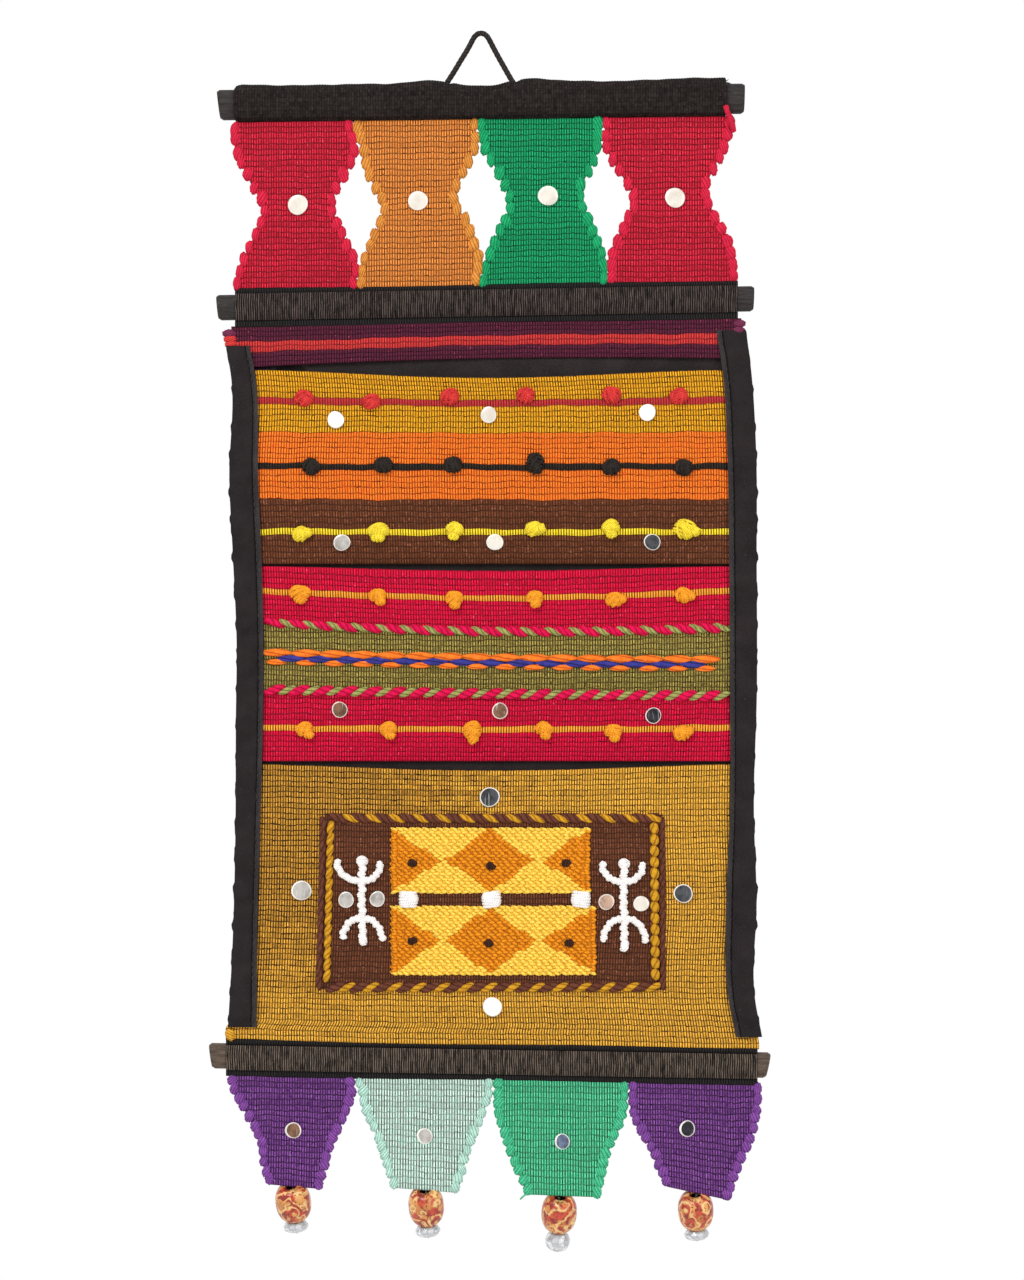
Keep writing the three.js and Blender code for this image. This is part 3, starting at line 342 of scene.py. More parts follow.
MUSTARD = weave("mustard", (236, 172, 32), (196, 128, 22), (66, 34, 10), (140, 86, 24), .02, 1.1, vary=.26)
MUSTARD_LOW = weave("mustard_low", (232, 176, 66), (192, 134, 40), (60, 34, 12), (130, 88, 34), .02, 1.1,
                    vary=.33)
# darker copies of the lower pocket's mustard: part dirt, part painted shade
MUSTARD_MID = weave("mustard_mid", (219, 163, 61), (178, 123, 39), (50, 28, 11), ribs=1.15, rows=1.1,
                    vary=.36)
MUSTARD_DARK = weave("mustard_dark", (202, 148, 56), (162, 111, 37), (42, 23, 9), ribs=1.2, rows=1.2,
                     vary=.38)
ORANGE = weave("orange", (254, 134, 42), (222, 96, 28), (104, 28, 10))
BROWN = weave("brown", (110, 62, 38), (84, 46, 28), (26, 12, 9), (146, 92, 66), .07, .85, .9, .4)
PANEL_BROWN = weave("panel_brown", (108, 62, 40), (82, 46, 30), (26, 13, 9), (146, 92, 66), .07, .85, .9, .4)
CRIMSON = weave("crimson", (224, 20, 62), (178, 10, 44), (62, 4, 18), (232, 70, 106), .03, .95, .95, .34)
OLIVE = weave("olive", (166, 150, 74), (94, 80, 38), (40, 26, 14), (78, 66, 30), .05, 1.1, vary=.45)
LINE_RED = weave("line_red", (200, 58, 58), (160, 44, 46), (82, 20, 24), rows=.5)
LINE_BLACK = weave("line_black", (52, 44, 38), (26, 22, 20), (8, 7, 7), rows=.5)
LINE_YELLOW = weave("line_yellow", (255, 232, 56), (226, 190, 32), (110, 80, 12), rows=.2, ribs=1.2)
LINE_ORANGE = weave("line_orange", (255, 178, 64), (230, 138, 34), (104, 44, 10), rows=.2, ribs=1.2)
BLACK_WEAVE = weave("black_weave", (42, 39, 39), (24, 22, 22), (6, 6, 6), vary=.16)
SLEEVE_CLOTH = weave("sleeve_cloth", (42, 35, 33), (17, 14, 13), (7, 6, 6), (66, 56, 50), .02, .6, .5, .6)

RED_YARN = yarn("red_yarn", (214, 36, 66), (140, 16, 44), 3, .9)
OCHRE_YARN = yarn("ochre_yarn", (220, 144, 62), (130, 72, 24), 3, .9)
GREEN_YARN = yarn("green_yarn", (30, 168, 106), (6, 84, 50), 3, .9)
PURPLE_YARN = yarn("purple_yarn", (134, 76, 158), (62, 30, 82), 3, .9)
MINT_YARN = yarn("mint_yarn", (188, 224, 210), (104, 150, 134), 3, .9)
SEA_YARN = yarn("sea_yarn", (78, 192, 144), (20, 106, 72), 3, .9)
PLUM_YARN = yarn("plum_yarn", (120, 50, 82), (79, 31, 53), 3, .9)
MUSTARD_YARN = yarn("mustard_yarn", (228, 168, 52), (128, 80, 20), 3, .9)
CRIMSON_YARN = yarn("crimson_yarn", (222, 14, 74), (120, 4, 40), 4, .22)
OLIVE_YARN = yarn("olive_yarn", (160, 160, 92), (70, 72, 34), 4, .22)
CHAIN_ORANGE = yarn("chain_orange", (250, 126, 40), (160, 62, 14), 4, .05)
CHAIN_BLUE = yarn("chain_blue", (58, 58, 142), (20, 20, 62), 4, .05)
BORDER_GOLD = yarn("border_gold", (208, 152, 34), (120, 74, 14), 4, .2)
BORDER_BROWN = yarn("border_brown", (104, 58, 42), (44, 22, 16), 4, .2)
AMBER_STITCH = yarn("amber_stitch", (234, 146, 26), (150, 78, 10), 1.5, .3)
LEMON_STITCH = yarn("lemon_stitch", (253, 212, 88), (206, 150, 34), 1.5, .3)
KNOT_RED = yarn("knot_red", (232, 66, 62), (140, 28, 32), lean=1.1)
KNOT_BLACK = yarn("knot_black", (52, 46, 42), (12, 11, 10), lean=1.1)
KNOT_YELLOW = yarn("knot_yellow", (255, 236, 66), (196, 150, 22), lean=1.1)
KNOT_AMBER = yarn("knot_amber", (255, 176, 48), (196, 98, 16), lean=1.1)
DOT_BROWN = yarn("dot_brown", (70, 42, 34), (18, 10, 8))
WHITE_YARN = yarn("white_yarn", (255, 253, 251), (206, 194, 190))
TAPE_STITCH = yarn("tape_stitch", (70, 68, 68), (20, 20, 20), lean=1.5)
BLACK_CORD = yarn("black_cord", (52, 47, 45), (14, 13, 13), 3, .42)
THREAD = yarn("bead_thread", (92, 80, 72), (36, 30, 28), lean=.8)
END_KNOT = yarn("bead_knot", (206, 200, 192), (140, 134, 126), lean=.8)

WARP_DARK = bare_warp("warp_dark", (104, 90, 85), (10, 9, 8))
WARP_BROWN = bare_warp("warp_brown", (128, 112, 100), (11, 10, 9))
SHADOW = fabric("warp_shadow", (24, 22, 22), (8, 8, 8))
BLACK_TAPE = fabric("black_tape", (56, 49, 49), (28, 24, 24))
BINDING_CLOTH = fabric("binding_cloth", (47, 41, 42), (22, 19, 20))
# painted highlight: a lighter copy of the tape cloth for the rolled lip of its fold
BINDING_LIP_HIGHLIGHT = fabric("binding_lip_highlight", (66, 60, 61), (32, 29, 30))
DARK_STAIN = rod_stain("rod_stain", (60, 56, 55), (34, 32, 31))
WARM_STAIN = rod_stain("rod_stain_warm", (106, 91, 79), (60, 50, 43))
# painted shade: the inside of a bead's bore, its wood grain darkened to near black
BORE_SHADE = rod_stain("bead_bore_shade", (44, 28, 20), (22, 14, 10))
PAINTED_WOOD = painted_wood()
CLEAR_GLASS = glass()


# shapes
def mix(a, b, t):
    return a + (b - a) * t


def hashed(i, j, seed=0):
    """A fixed pseudo-random number, 0 to 1, for each whole pair."""
    v = np.sin(np.asarray(i, float) * 12.9898 + np.asarray(j, float) * 78.233 + seed * 37.719) * 43758.5453
    return v - np.floor(v)


def ripple(x, z, seed=0.0, size=1.0):
    """Smooth irregular wander between about -1 and 1."""
    x, z = x * size, z * size
    broad = np.sin(x * .113 + z * .071 + seed) + np.sin(x * -.057 + z * .139 + 2.1 * seed + 1)
    return (broad + np.sin(x * .231 + 1.7 * np.sin(z * .043 + seed) + 3.3 * seed)) / 3


def turned(a, b, angle):
    c, s = math.cos(angle), math.sin(angle)
    return a * c - b * s, a * s + b * c


def table(rows, column):
    """A smooth curve through one column of a table, read by the first column."""
    rows = np.array(rows, float)
    order = np.argsort(rows[:, 0])
    x, y = rows[order, 0], rows[order, column]
    slope = np.gradient(y, x)

    def read(at):
        at = np.clip(np.asarray(at, float), x[0], x[-1])
        i = np.clip(np.searchsorted(x, at, side="right") - 1, 0, len(x) - 2)
        h = x[i + 1] - x[i]
        t = (at - x[i]) / h
        low = y[i] * (2 * t ** 3 - 3 * t ** 2 + 1) + slope[i] * h * (t ** 3 - 2 * t ** 2 + t)
        return low + y[i + 1] * (3 * t ** 2 - 2 * t ** 3) + slope[i + 1] * h * (t ** 3 - t ** 2)
    return read


def run_of(points):
    """Length along a path from its start to each of its points."""
    steps = np.linalg.norm(np.diff(points, axis=0), axis=1)
    return np.concatenate([[0], np.cumsum(steps)])


def resample(points, n):
    points = np.asarray(points, float)
    run = run_of(points)
    at = np.linspace(0, run[-1], n)
    return np.stack([np.interp(at, run, points[:, k]) for k in range(points.shape[1])], -1)


class Mesh:
    """Quads collected part by part, each vertex with a place in millimetres and a weave coordinate."""

    def __init__(self):
        self.verts, self.uvs, self.quads, self.slots, self.mats = [], [], [], [], []
        self.count = 0

    def slot_of(self, material):
        if material not in self.mats:
            self.mats.append(material)
        return self.mats.index(material)

    def grid(self, place, uv, material, flip=False):
        """place: rows x columns x 3. material: one, or a rows-1 x columns-1 array of slot numbers."""
        rows, cols = place.shape[:2]
        first = self.count + np.arange(rows * cols).reshape(rows, cols)
        a, b, c, d = first[:-1, :-1], first[:-1, 1:], first[1:, 1:], first[1:, :-1]
        quad = np.stack([a, b, c, d] if flip else [a, d, c, b], -1).reshape(-1, 4)
        if not isinstance(material, np.ndarray):
            material = np.full(len(quad), self.slot_of(material))
        self.verts.append(place.reshape(-1, 3))
        self.uvs.append(np.broadcast_to(uv, (rows, cols, 2)).reshape(-1, 2))
        self.quads.append(quad)
        self.slots.append(material.reshape(-1))
        self.count += rows * cols

    def put(self, name):
        """The collected quads as an object in the scene, in metres."""
        quads = np.concatenate(self.quads)
        mesh = bpy.data.meshes.new(name)
        mesh.vertices.add(self.count)
        mesh.vertices.foreach_set("co", (np.concatenate(self.verts) / 1000).astype(np.float32).ravel())
        mesh.loops.add(quads.size)
        mesh.loops.foreach_set("vertex_index", quads.astype(np.int32).ravel())
        mesh.polygons.add(len(quads))
        mesh.polygons.foreach_set("loop_start", np.arange(0, quads.size, 4, dtype=np.int32))
        mesh.polygons.foreach_set("material_index", np.concatenate(self.slots).astype(np.int32))
        mesh.update(calc_edges=True)
        layer = mesh.uv_layers.new(name="weave")
        layer.data.foreach_set("uv", np.concatenate(self.uvs)[quads.ravel()].astype(np.float32).ravel())
        for material in self.mats:
            mesh.materials.append(material)
        mesh.validate()
        mesh.polygons.foreach_set("use_smooth", np.ones(len(mesh.polygons), bool))
        obj = bpy.data.objects.new(name, mesh)
        SCENE.collection.objects.link(obj)
        return obj

    def make(self, name, slot, replaces=()):
        """A piece of the part, attached to the root body, in place of CAD nodes if any are named; slot is not
        used.
        """
        obj = self.put(name)
        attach(obj, "root")
        if replaces:
            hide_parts(*replaces)
        return obj


def unit(vectors):
    return vectors / (np.linalg.norm(vectors, axis=1, keepdims=True) + 1e-9)


def tube(mesh, path, radius, material, sides=8, plies=0, lean=.55, ply_deep=.16, flat=1.0, spin=0.0,
         ends=True):
    """A yarn along a path; radius may change along it. plies gives it twisted strands that can be seen."""
    path = np.asarray(path, float)
    radius = np.broadcast_to(np.asarray(radius, float), (len(path),))
    step = unit(np.gradient(path, axis=0))
    side = unit(np.cross(step, [0, -1, .001]))
    up = np.cross(side, step)
    run = run_of(path)[:, None]
    turn = np.linspace(0, 1, sides + 1)[None]
    angle = turn * TAU + spin
    r = radius[:, None] * np.ones_like(angle)
    if plies:
        r = r * (1 + ply_deep * (np.abs(np.cos(plies / 2 * (angle - lean * run))) - .6))
    out, over = (np.cos(angle) * r)[..., None], (np.sin(angle) * r * flat)[..., None]
    ring = path[:, None] + out * side[:, None] + over * up[:, None]
    uv = np.stack(np.broadcast_arrays(turn, run), -1)
    if ends:
        tips = [path[k] + way * step[k] * radius[k] * .5 for k, way in ((0, -1), (-1, 1))]
        first, last = (np.broadcast_to(tip, (1, sides + 1, 3)) for tip in tips)
        ring = np.concatenate([first, ring, last])
        uv = np.concatenate([uv[:1], uv, uv[-1:]])
    mesh.grid(ring, uv, material, flip=True)


def ball(mesh, centre, size, material, sides=12, lines=8, groove=0.0, turns=5, lean=0.0, tilt=0.0, square=1.0,
         seed=0.0):
    """A rounded lump; groove cuts slanting strands into it. size is its three half widths."""
    around, down = np.meshgrid(np.linspace(0, TAU, sides + 1), np.linspace(.02, PI - .02, lines + 1))
    skin = np.stack([np.sin(down) * np.cos(around), np.sin(down) * np.sin(around), np.cos(down)], -1)
    skin = np.sign(skin) * np.abs(skin) ** square
    strand = (skin[..., 2] * math.cos(lean) + skin[..., 0] * math.sin(lean)) * turns + seed
    swell = 1 + groove * (np.abs(np.cos(PI * strand)) - .6) + .04 * np.sin(3 * around + seed)
    skin = skin * np.array(size) * swell[..., None]
    x, z = turned(skin[..., 0], skin[..., 2], tilt)
    uv = np.stack([np.full(strand.shape, .5), strand], -1)
    mesh.grid(np.stack([x, skin[..., 1], z], -1) + np.array(centre, float), uv, material)


# weaving
WARP_PITCH = 1.67
RELIEF = .58         # how far a rib of weft stands over the cloth
ROW_LINES = 3        # grid lines in a row of weft


def row_plan(mesh, groups, proud):
    """groups: (rows, share of the height where they end, material). Gives where each row ends, its material
    slot and whether it stands proud."""
    ends, slots, raised = [0.0], [], []
    for count, end, material in groups:
        start = ends[-1]
        ends += [mix(start, end, (k + 1) / count) for k in range(count)]
        slots += [mesh.slot_of(material)] * count
        raised += [float(material in proud)] * count
    return np.array(ends), np.array(slots), np.array(raised)


def row_shift(warps, i, v, step, total, seed):
    """How far a row's lines stand off their even places at each warp, as a share of the row."""
    shift = .2 * (hashed(*np.meshgrid(np.arange(warps), np.arange(total + 1)), seed) - .5)
    shift[0] = shift[-1] = 0
    left, right = np.clip((i - 1) // 2, 0, warps - 1), np.clip(i // 2, 0, warps - 1)
    here = (shift[step, left] + shift[step, right]) / 2
    after = (shift[step + 1, left] + shift[step + 1, right]) / 2
    return mix(here, after, v - step)


def woven(mesh, place, warps, groups, thick, seed, relief=RELIEF, recolour=None, proud=()):
    """A hand-woven cloth as a closed sheet. place(u, v) gives x, y, z of its middle; v runs down it."""
    ends, row_slot, raised = row_plan(mesh, groups, proud)
    total, cols = len(row_slot), warps * 2 + 1
    lines = total * ROW_LINES + 1
    i, j = np.meshgrid(np.arange(cols), np.arange(lines))
    v = j / ROW_LINES
    wander = .22 * ripple(i * .9, v * 9, seed) * np.sin(PI * (v / total)) ** .3
    x, y, z = place(i / (cols - 1), np.interp(np.clip(v + wander, 0, total), np.arange(total + 1), ends))
    step = np.clip(v.astype(int), 0, total - 1)
    v_cell = v - row_shift(warps, i, v, step, total, seed)
    bulge = 2 * (v_cell % 1) - 1
    rib = (i % 2) * (.75 + .5 * hashed(i // 2, v.astype(int), seed))
    lift = relief * (rib * np.sqrt(1 - bulge ** 2) + .36 * np.sin(PI * (v_cell % 1)))
    lift += raised[step] * np.sin(PI * (v - step)) * (.45 + .5 * rib)
    lift += .18 * ripple(x, z, seed + 5, 2.2)
    front = np.stack([x, y - thick / 2 + .25 - lift, z], -1)
    back = np.stack([x, y + thick / 2 - .1, z], -1)
    uv = np.stack([i / 2, v_cell], -1)
    slots = np.repeat(np.repeat(row_slot, ROW_LINES)[:, None], cols - 1, 1)
    if recolour:
        slots = recolour((x[:-1, :-1] + x[1:, 1:]) / 2, (z[:-1, :-1] + z[1:, 1:]) / 2, slots)
    mesh.grid(front, uv, slots)
    few_cols = np.unique(np.linspace(0, cols - 1, max(6, warps // 3)).astype(int))
    few_lines = np.arange(0, lines, ROW_LINES)
    few = np.ix_(few_lines, few_cols)
    mesh.grid(back[few], uv[few], slots[np.ix_(few_lines[:-1], few_cols[:-1])], flip=True)
    for edge, flip in ((np.s_[:, 0], False), (np.s_[:, -1], True), (np.s_[0], True), (np.s_[-1], False)):
        near, far = front[edge], back[edge]
        rim = np.stack([near, (near + far) / 2, far], 1)
        mesh.grid(rim, np.stack([uv[edge]] * 3, 1), np.repeat(slots[edge][:, None], 2, 1), flip=flip)


# the part's own measures
RODS = {"top": (-165.9, 166.5, -43.5, -39.4), "middle": (-166.8, 172.5, -171.5, -165.8),
        "bottom": (-171, 181.7, -645.1, -651.1)}    # ends, and the axis's height at each of them
ROD_Y = {"top": 0.0, "middle": 1.3, "bottom": 1.3}
ROD_HALF_DEEP, ROD_HALF_HIGH = 4.5, 9.5
WRAPS = {"middle": (-155.5, 162.4, 11.5, 13.0), "bottom": (-161.2, 174.8, 11.0, 12.3)}
TAPE_LEFT = [  # height, outer edge, inner edge
    (-196.1, -161.2, -146.0), (-214.4, -158.0, -142.6), (-280.8, -158.9, -140.6), (-331.4, -156.5, -138.5),
    (-381.9, -154.3, -137.3), (-432.5, -154.8, -137.6), (-508.3, -155.2, -139.7), (-577.8, -157.1, -141.4),
    (-626.5, -159.8, -141.6)]
TAPE_RIGHT = [
    (-186.0, 167.5, 148.5), (-214.4, 171.0, 152.9), (-261.8, 173.8, 155.5), (-331.4, 174.1, 156.7),
    (-413.5, 174.2, 157.1), (-489.4, 172.3, 157.2), (-546.2, 174.1, 154.8), (-609.4, 173.2, 156.4),
    (-632.8, 177.6, 161.2)]
left_out, left_in = table(TAPE_LEFT, 1), table(TAPE_LEFT, 2)
right_out, right_in = table(TAPE_RIGHT, 1), table(TAPE_RIGHT, 2)
CLOTH_IN_TAPE = 1.7     # from the tape's fold to the cloth's edge in it

Pocket = namedtuple("Pocket", "side low bottom gape sags slot flat")
POCKETS = {
    "upper": Pocket(-211.3, -217, -334, 9.5, (1.6, .2), "mustard_weave", (.330, .123)),
    "middle": Pocket(-335.3, -338.2, -458.6, 8.5, (4.2, .4), "crimson_weave", (.330, .124)),
    "lower": Pocket(-460.4, -464, -637, 8, (1.0, 0), "amber_weave", (.332, .178))}
POCKET_Y, POCKET_THICK = 1.1, 2.4


def axis_z(rod, x):
    left, right, z_left, z_right = RODS[rod]
    return z_left + (z_right - z_left) * (x - left) / (right - left)


def strip_top(rod, x):
    return axis_z(rod, x) + WRAPS[rod][2] + .35 * np.sin(x / 31)


def strip_bottom(rod, x):
    return axis_z(rod, x) - WRAPS[rod][3] + .35 * np.sin(x / 37 + 1)


def sway(x, z):
    return .45 * np.sin(x / 46 + z / 83) + .35 * np.sin(x / 71 - z / 58 + 1.3)


def held_left(z):
    return left_out(z) + CLOTH_IN_TAPE


def held_right(z):
    return right_out(z) - CLOTH_IN_TAPE


def between_tapes(x, z):
    """Share of the width between the bindings, 0 to 1."""
    return np.clip((x - left_in(z)) / (right_in(z) - left_in(z)), 0, 1)


def pocket_y(name, x, z):
    """Middle of a pocket's cloth: it hangs a little open at the mouth."""
    pocket = POCKETS[name]
    u = between_tapes(x, z)
    v = np.clip((z - pocket.bottom) / (pocket.side - pocket.bottom), 0, 1)
    return POCKET_Y + sway(x, z) - pocket.gape * (4 * u * (1 - u)) ** .8 * (1 - (1 - v) ** 1.8)


def on_pocket(name, x, z):
    """y of a pocket's front face."""
    return pocket_y(name, x, z) - POCKET_THICK / 2


def box_of(node):
    """Low and high corner of a CAD node, in millimetres."""
    return np.array(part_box(node)) * 1000


# hanging loop
CORD_D = 3.3
LOOP_ROUTE = [
    (-22.3, -31.4), (-20.5, -28.2), (-18.3, -24.8), (-16, -21.1), (-13.7, -17.2), (-11.3, -13.3),
    (-8.9, -9.4), (-7.1, -6.2), (-5.7, -3.4), (-4.1, -.6), (-2.2, 1.1), (0, 1.65), (2.2, 1.1), (4.1, -.6),
    (5.7, -3.4), (7.1, -6.2), (8.8, -9.4), (10.9, -13.3), (13.1, -17.2), (15.3, -21.1), (17.4, -24.8),
    (19.4, -28.2), (21.2, -31)]


def hanging_loop():
    path = resample([(x, 0, z) for x, z in LOOP_ROUTE], 76)
    mesh = Mesh()
    tube(mesh, path, CORD_D / 2, BLACK_CORD, sides=20, plies=6, lean=1.3, ply_deep=.2)
    loop = mesh.make("cord_loop", "black_cord", ["hanging_loop"])


# beads
THREAD_D = 1.6
WOOD_WIDE, WOOD_TALL, WOOD_HOLE, WOOD_BACK = 22.4, 25.4, 7.6, 1.2
GLASS_WIDE, GLASS_HOLE, GLASS_Y, GLASS_FACETS = 15.8, 2.4, -.4, 12
GLASS_SIDE = ((.55, .5), (.86, .36), (1, .12), (.98, -.1), (.88, -.27), (.68, -.41), (.34, -.5))
HEM_Y = -9.6
TIP = math.radians(28)
WOOD_LOW = math.hypot(WOOD_TALL / 2 * math.cos(TIP), WOOD_WIDE / 2 * math.sin(TIP))
Drop = namedtuple("Drop", "raised lean glass_tall")
DROPS = [Drop(.9, -6, 7.6), Drop(.7, -4, 8.0), Drop(.6, 3, 12.6), Drop(1.2, -4, 7.4)]


def tipped(points, lean, tip=TIP):
    """Turns points round a bead's own axes: its top toward the viewer, then its lean in the cloth's plane."""
    y, z = turned(points[..., 1], points[..., 2], tip)
    x, z = turned(points[..., 0], z, -math.radians(lean))
    return np.stack([x, y, z], -1)


def lathe(profile, sides):
    """profile: radius, height pairs from the middle of the bore, over the outside, back into the bore."""
    turn = np.linspace(0, TAU, sides + 1)
    r, h = np.array(profile).T[..., None]
    return np.stack(np.broadcast_arrays(r * np.cos(turn), r * np.sin(turn), h), -1)


def oval_profile(wide, tall, hole, power=2 / .83, steps=26):
    t = np.linspace(-1, 1, steps)
    r = mix(hole / 2, wide / 2, np.sqrt(1 - np.abs(t) ** power))
    outside = [(radius, -share * tall / 2) for radius, share in zip(r, t)]
    bore = [(hole / 2, tall * share) for share in (0, .4, -.4, 0)]
    return bore[:2] + outside + bore[2:]


def wooden_bead(k, at, lean):
    mesh = Mesh()
    ring = lathe(oval_profile(WOOD_WIDE, WOOD_TALL, WOOD_HOLE), 56)
    # the bore's inside gets painted shade
    for part, look in ((ring[1:-1], PAINTED_WOOD), (ring[:2], BORE_SHADE), (ring[-2:], BORE_SHADE)):
        mesh.grid(tipped(part, lean) + at, np.zeros(2), look, flip=True)
    return mesh.make(f"bead_wood_{k}", "painted_wood", [f"wood_bead_{k}"])


def glass_bead(k, at, lean, tall):
    mesh = Mesh()
    wide, hole, lip = GLASS_WIDE / 2, GLASS_HOLE / 2, tall / 2 - .4
    outside = [(wide * r, tall * h) for r, h in GLASS_SIDE]
    ring = lathe([(hole, 0), (hole, lip)] + outside + [(hole, -lip), (hole, 0)], GLASS_FACETS)
    for row in (3, 6):
        ring[row, :, 0], ring[row, :, 1] = turned(*ring[row, :, :2].T.copy(), PI / GLASS_FACETS)
    facets = np.stack(np.meshgrid(np.arange(GLASS_FACETS + 1), np.arange(len(ring))), -1)
    mesh.grid(tipped(ring, lean, 0) + at, facets + np.array([0, .5]), CLEAR_GLASS, flip=True)
    bead = mesh.make(f"bead_glass_{k}", "clear_glass", [f"glass_bead_{k}"])
    bead.data.polygons.foreach_set("use_smooth", np.zeros(len(bead.data.polygons), bool))
    return bead


def bead_thread(k, wood_at, glass_at, drop):
    """From the hem through both beads, to a knot in the glass bead's lower mouth."""
    up = np.array([0, 0, 1.0])
    wood_axis, down = tipped(up, drop.lean), tipped(-up, drop.lean, 0)
    hem = np.array([wood_at[0] - .4 * drop.lean / 6, HEM_Y, box_of(f"bead_thread_{k}")[1][2] - 1.0])
    above, foot = glass_at - down * (drop.glass_tall / 2 + 1), glass_at + down * (drop.glass_tall / 2 - .2)
    corners = [hem, wood_at + wood_axis * 5, wood_at, wood_at - wood_axis * 6, above, glass_at, foot]
    path = resample(corners, 44)
    mesh = Mesh()
    tube(mesh, path, THREAD_D / 2, THREAD, sides=10, plies=2, lean=1.4)
    ball(mesh, foot, (1.12, 1.1, .9), END_KNOT, groove=.14, turns=4, lean=.8, seed=k - 1)
    thread = mesh.make(f"thread_bead_{k}", "black_cord", [f"bead_thread_{k}"])


def bead_drop(k, drop):
    """A wooden bead over a glass bead, on a thread sewn to a tab's hem."""
    wood_at = box_of(f"wood_bead_{k}").mean(0) + np.array([0, WOOD_BACK, drop.raised])
    glass_at = box_of(f"glass_bead_{k}").mean(0)
    glass_at[1:] = GLASS_Y, wood_at[2] - WOOD_LOW - drop.glass_tall / 2 - .05
    beads = [wooden_bead(k, wood_at, drop.lean), glass_bead(k, glass_at, drop.lean, drop.glass_tall)]
    bead_thread(k, wood_at, glass_at, drop)


# rods, sleeve and warp wraps
STAINS = {"top": DARK_STAIN, "middle": DARK_STAIN, "bottom": WARM_STAIN}
HALF_ROUND = [  # a rod's section in half depths and half heights, from the middle of its flat back upward
    (1, 0), (1, .8), (.7, 1), (0, .97), (-.55, .82), (-.9, .45), (-1, 0),
    (-.9, -.45), (-.55, -.82), (0, -.97), (.7, -1), (1, -.8), (1, 0)]
SLEEVE_ENDS, SLEEVE_COLS, SLEEVE_RING = (-155.5, 154.2), 366, 56
SLEEVE_CREST = [  # x, and how far the sleeve stands up over the rod there
    (-155.5, .8), (-60, .3), (-22.3, 1.3), (-12, -1.1), (10, -1.2), (21.2, 1.5), (60, .7), (154.2, 1.5)]
LOOP_FEET = (-20.2, 22.4)
FRINGE_ENDS, FRINGE_X, FRINGE_THICK = 16, 153.4, (.34, .32, .3, .26, .14)
BARE_PITCH = 1.42    # from one bare warp thread to the next
THREAD_STAND = (0, .72, 1, .72)    # how far a bare warp stands out, at four places round it


def softened(line, times=1):
    line = line.copy()
    for _ in range(times):
        line[1:-1] = (line[:-2] + 2 * line[1:-1] + line[2:]) / 4
    return line


def stain_rods():
    for rod, stain in STAINS.items():
        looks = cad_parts[f"rod_{rod}"].data.materials
        looks.clear()
        looks.append(stain)


def sleeve_skin(x, a):
    """The sleeve's surface: pulled in by the loop's feet, with a seam low on its front."""
    ry, rz = softened(resample(HALF_ROUND, SLEEVE_RING + 1)).T[:, None]
    above = np.clip(rz, 0, 1)
    dimple = sum(-1.3 * np.exp(-((x - foot) / 2.2) ** 2) for foot in LOOP_FEET) * above
    grow = 2.15 + .5 * (.35 * np.sin(x / 17) + .3 * np.sin(x / 29 + 2)) + dimple
    narrow = .82 + .18 * np.clip((x - SLEEVE_ENDS[0]) / 5, 0, 1) ** .4
    seam = .7 * np.exp(-((rz + .7) / .09) ** 2) * (ry < 0) * (.8 + .3 * ripple(x, 0, 2, 3))
    rows = .34 * np.sin(PI * (a / 2 % 1)) ** .5 + .24 * (np.arange(SLEEVE_COLS)[:, None] % 2)
    lift = rows + .4 * ripple(x, a * 3.0, 4, 1.6) + seam
    y = ry * (ROD_HALF_DEEP + grow + lift)
    z = axis_z("top", x) + rz * ((ROD_HALF_HIGH + grow) * narrow + lift) + table(SLEEVE_CREST, 1)(x) * above
    return np.stack([x, y, z], -1)


def top_sleeve():
    mesh = Mesh()
    x, a = np.meshgrid(np.linspace(*SLEEVE_ENDS, SLEEVE_COLS), np.arange(SLEEVE_RING + 1), indexing="ij")
    skin = sleeve_skin(x, a)
    mesh.grid(skin, np.stack([x / 1.7, a / 2], -1), SLEEVE_CLOTH)
    for end, out, flip in ((0, -.5, True), (-1, .5, False)):
        ring = skin[end]
        middle = np.array([ring[0, 0], 0, axis_z("top", ring[0, 0])])
        lip, mouth = (middle + (ring - middle) * share for share in (.93, .8))
        mesh.grid(np.stack([ring, lip + np.array([out, 0, 0]), mouth]), np.zeros(2), SLEEVE_CLOTH, flip)
    t = np.linspace(0, 1, len(FRINGE_THICK))
    for k in range(FRINGE_ENDS):
        angle = k / FRINGE_ENDS * TAU
        start = np.array([FRINGE_X, -6.0 * math.cos(angle), axis_z("top", 154) + 10.6 * math.sin(angle)])
        out, bend = 2.2 + 3.2 * hashed(k, 1), (hashed(k, 2) - .5) * 3.4
        tube(mesh, start + np.stack([t * out, 0 * t, bend * t * t], -1), FRINGE_THICK, BLACK_CORD, sides=5)
    cloth = mesh.make("sleeve_cloth", "black_weave", ["sleeve_top"])


def along_rod(mesh, rod, x, heights, behind, look, flip=False):
    """A plain cloth along a rod, by heights over its axis and how far behind it each of them is."""
    t, x = np.meshgrid(heights, x, indexing="ij")
    y = ROD_Y[rod] + np.reshape(behind, (-1, 1)) + 0 * x
    mesh.grid(np.stack([x, y, axis_z(rod, x) + t], -1), np.stack([x / 1.7, t / 4], -1), look, flip)


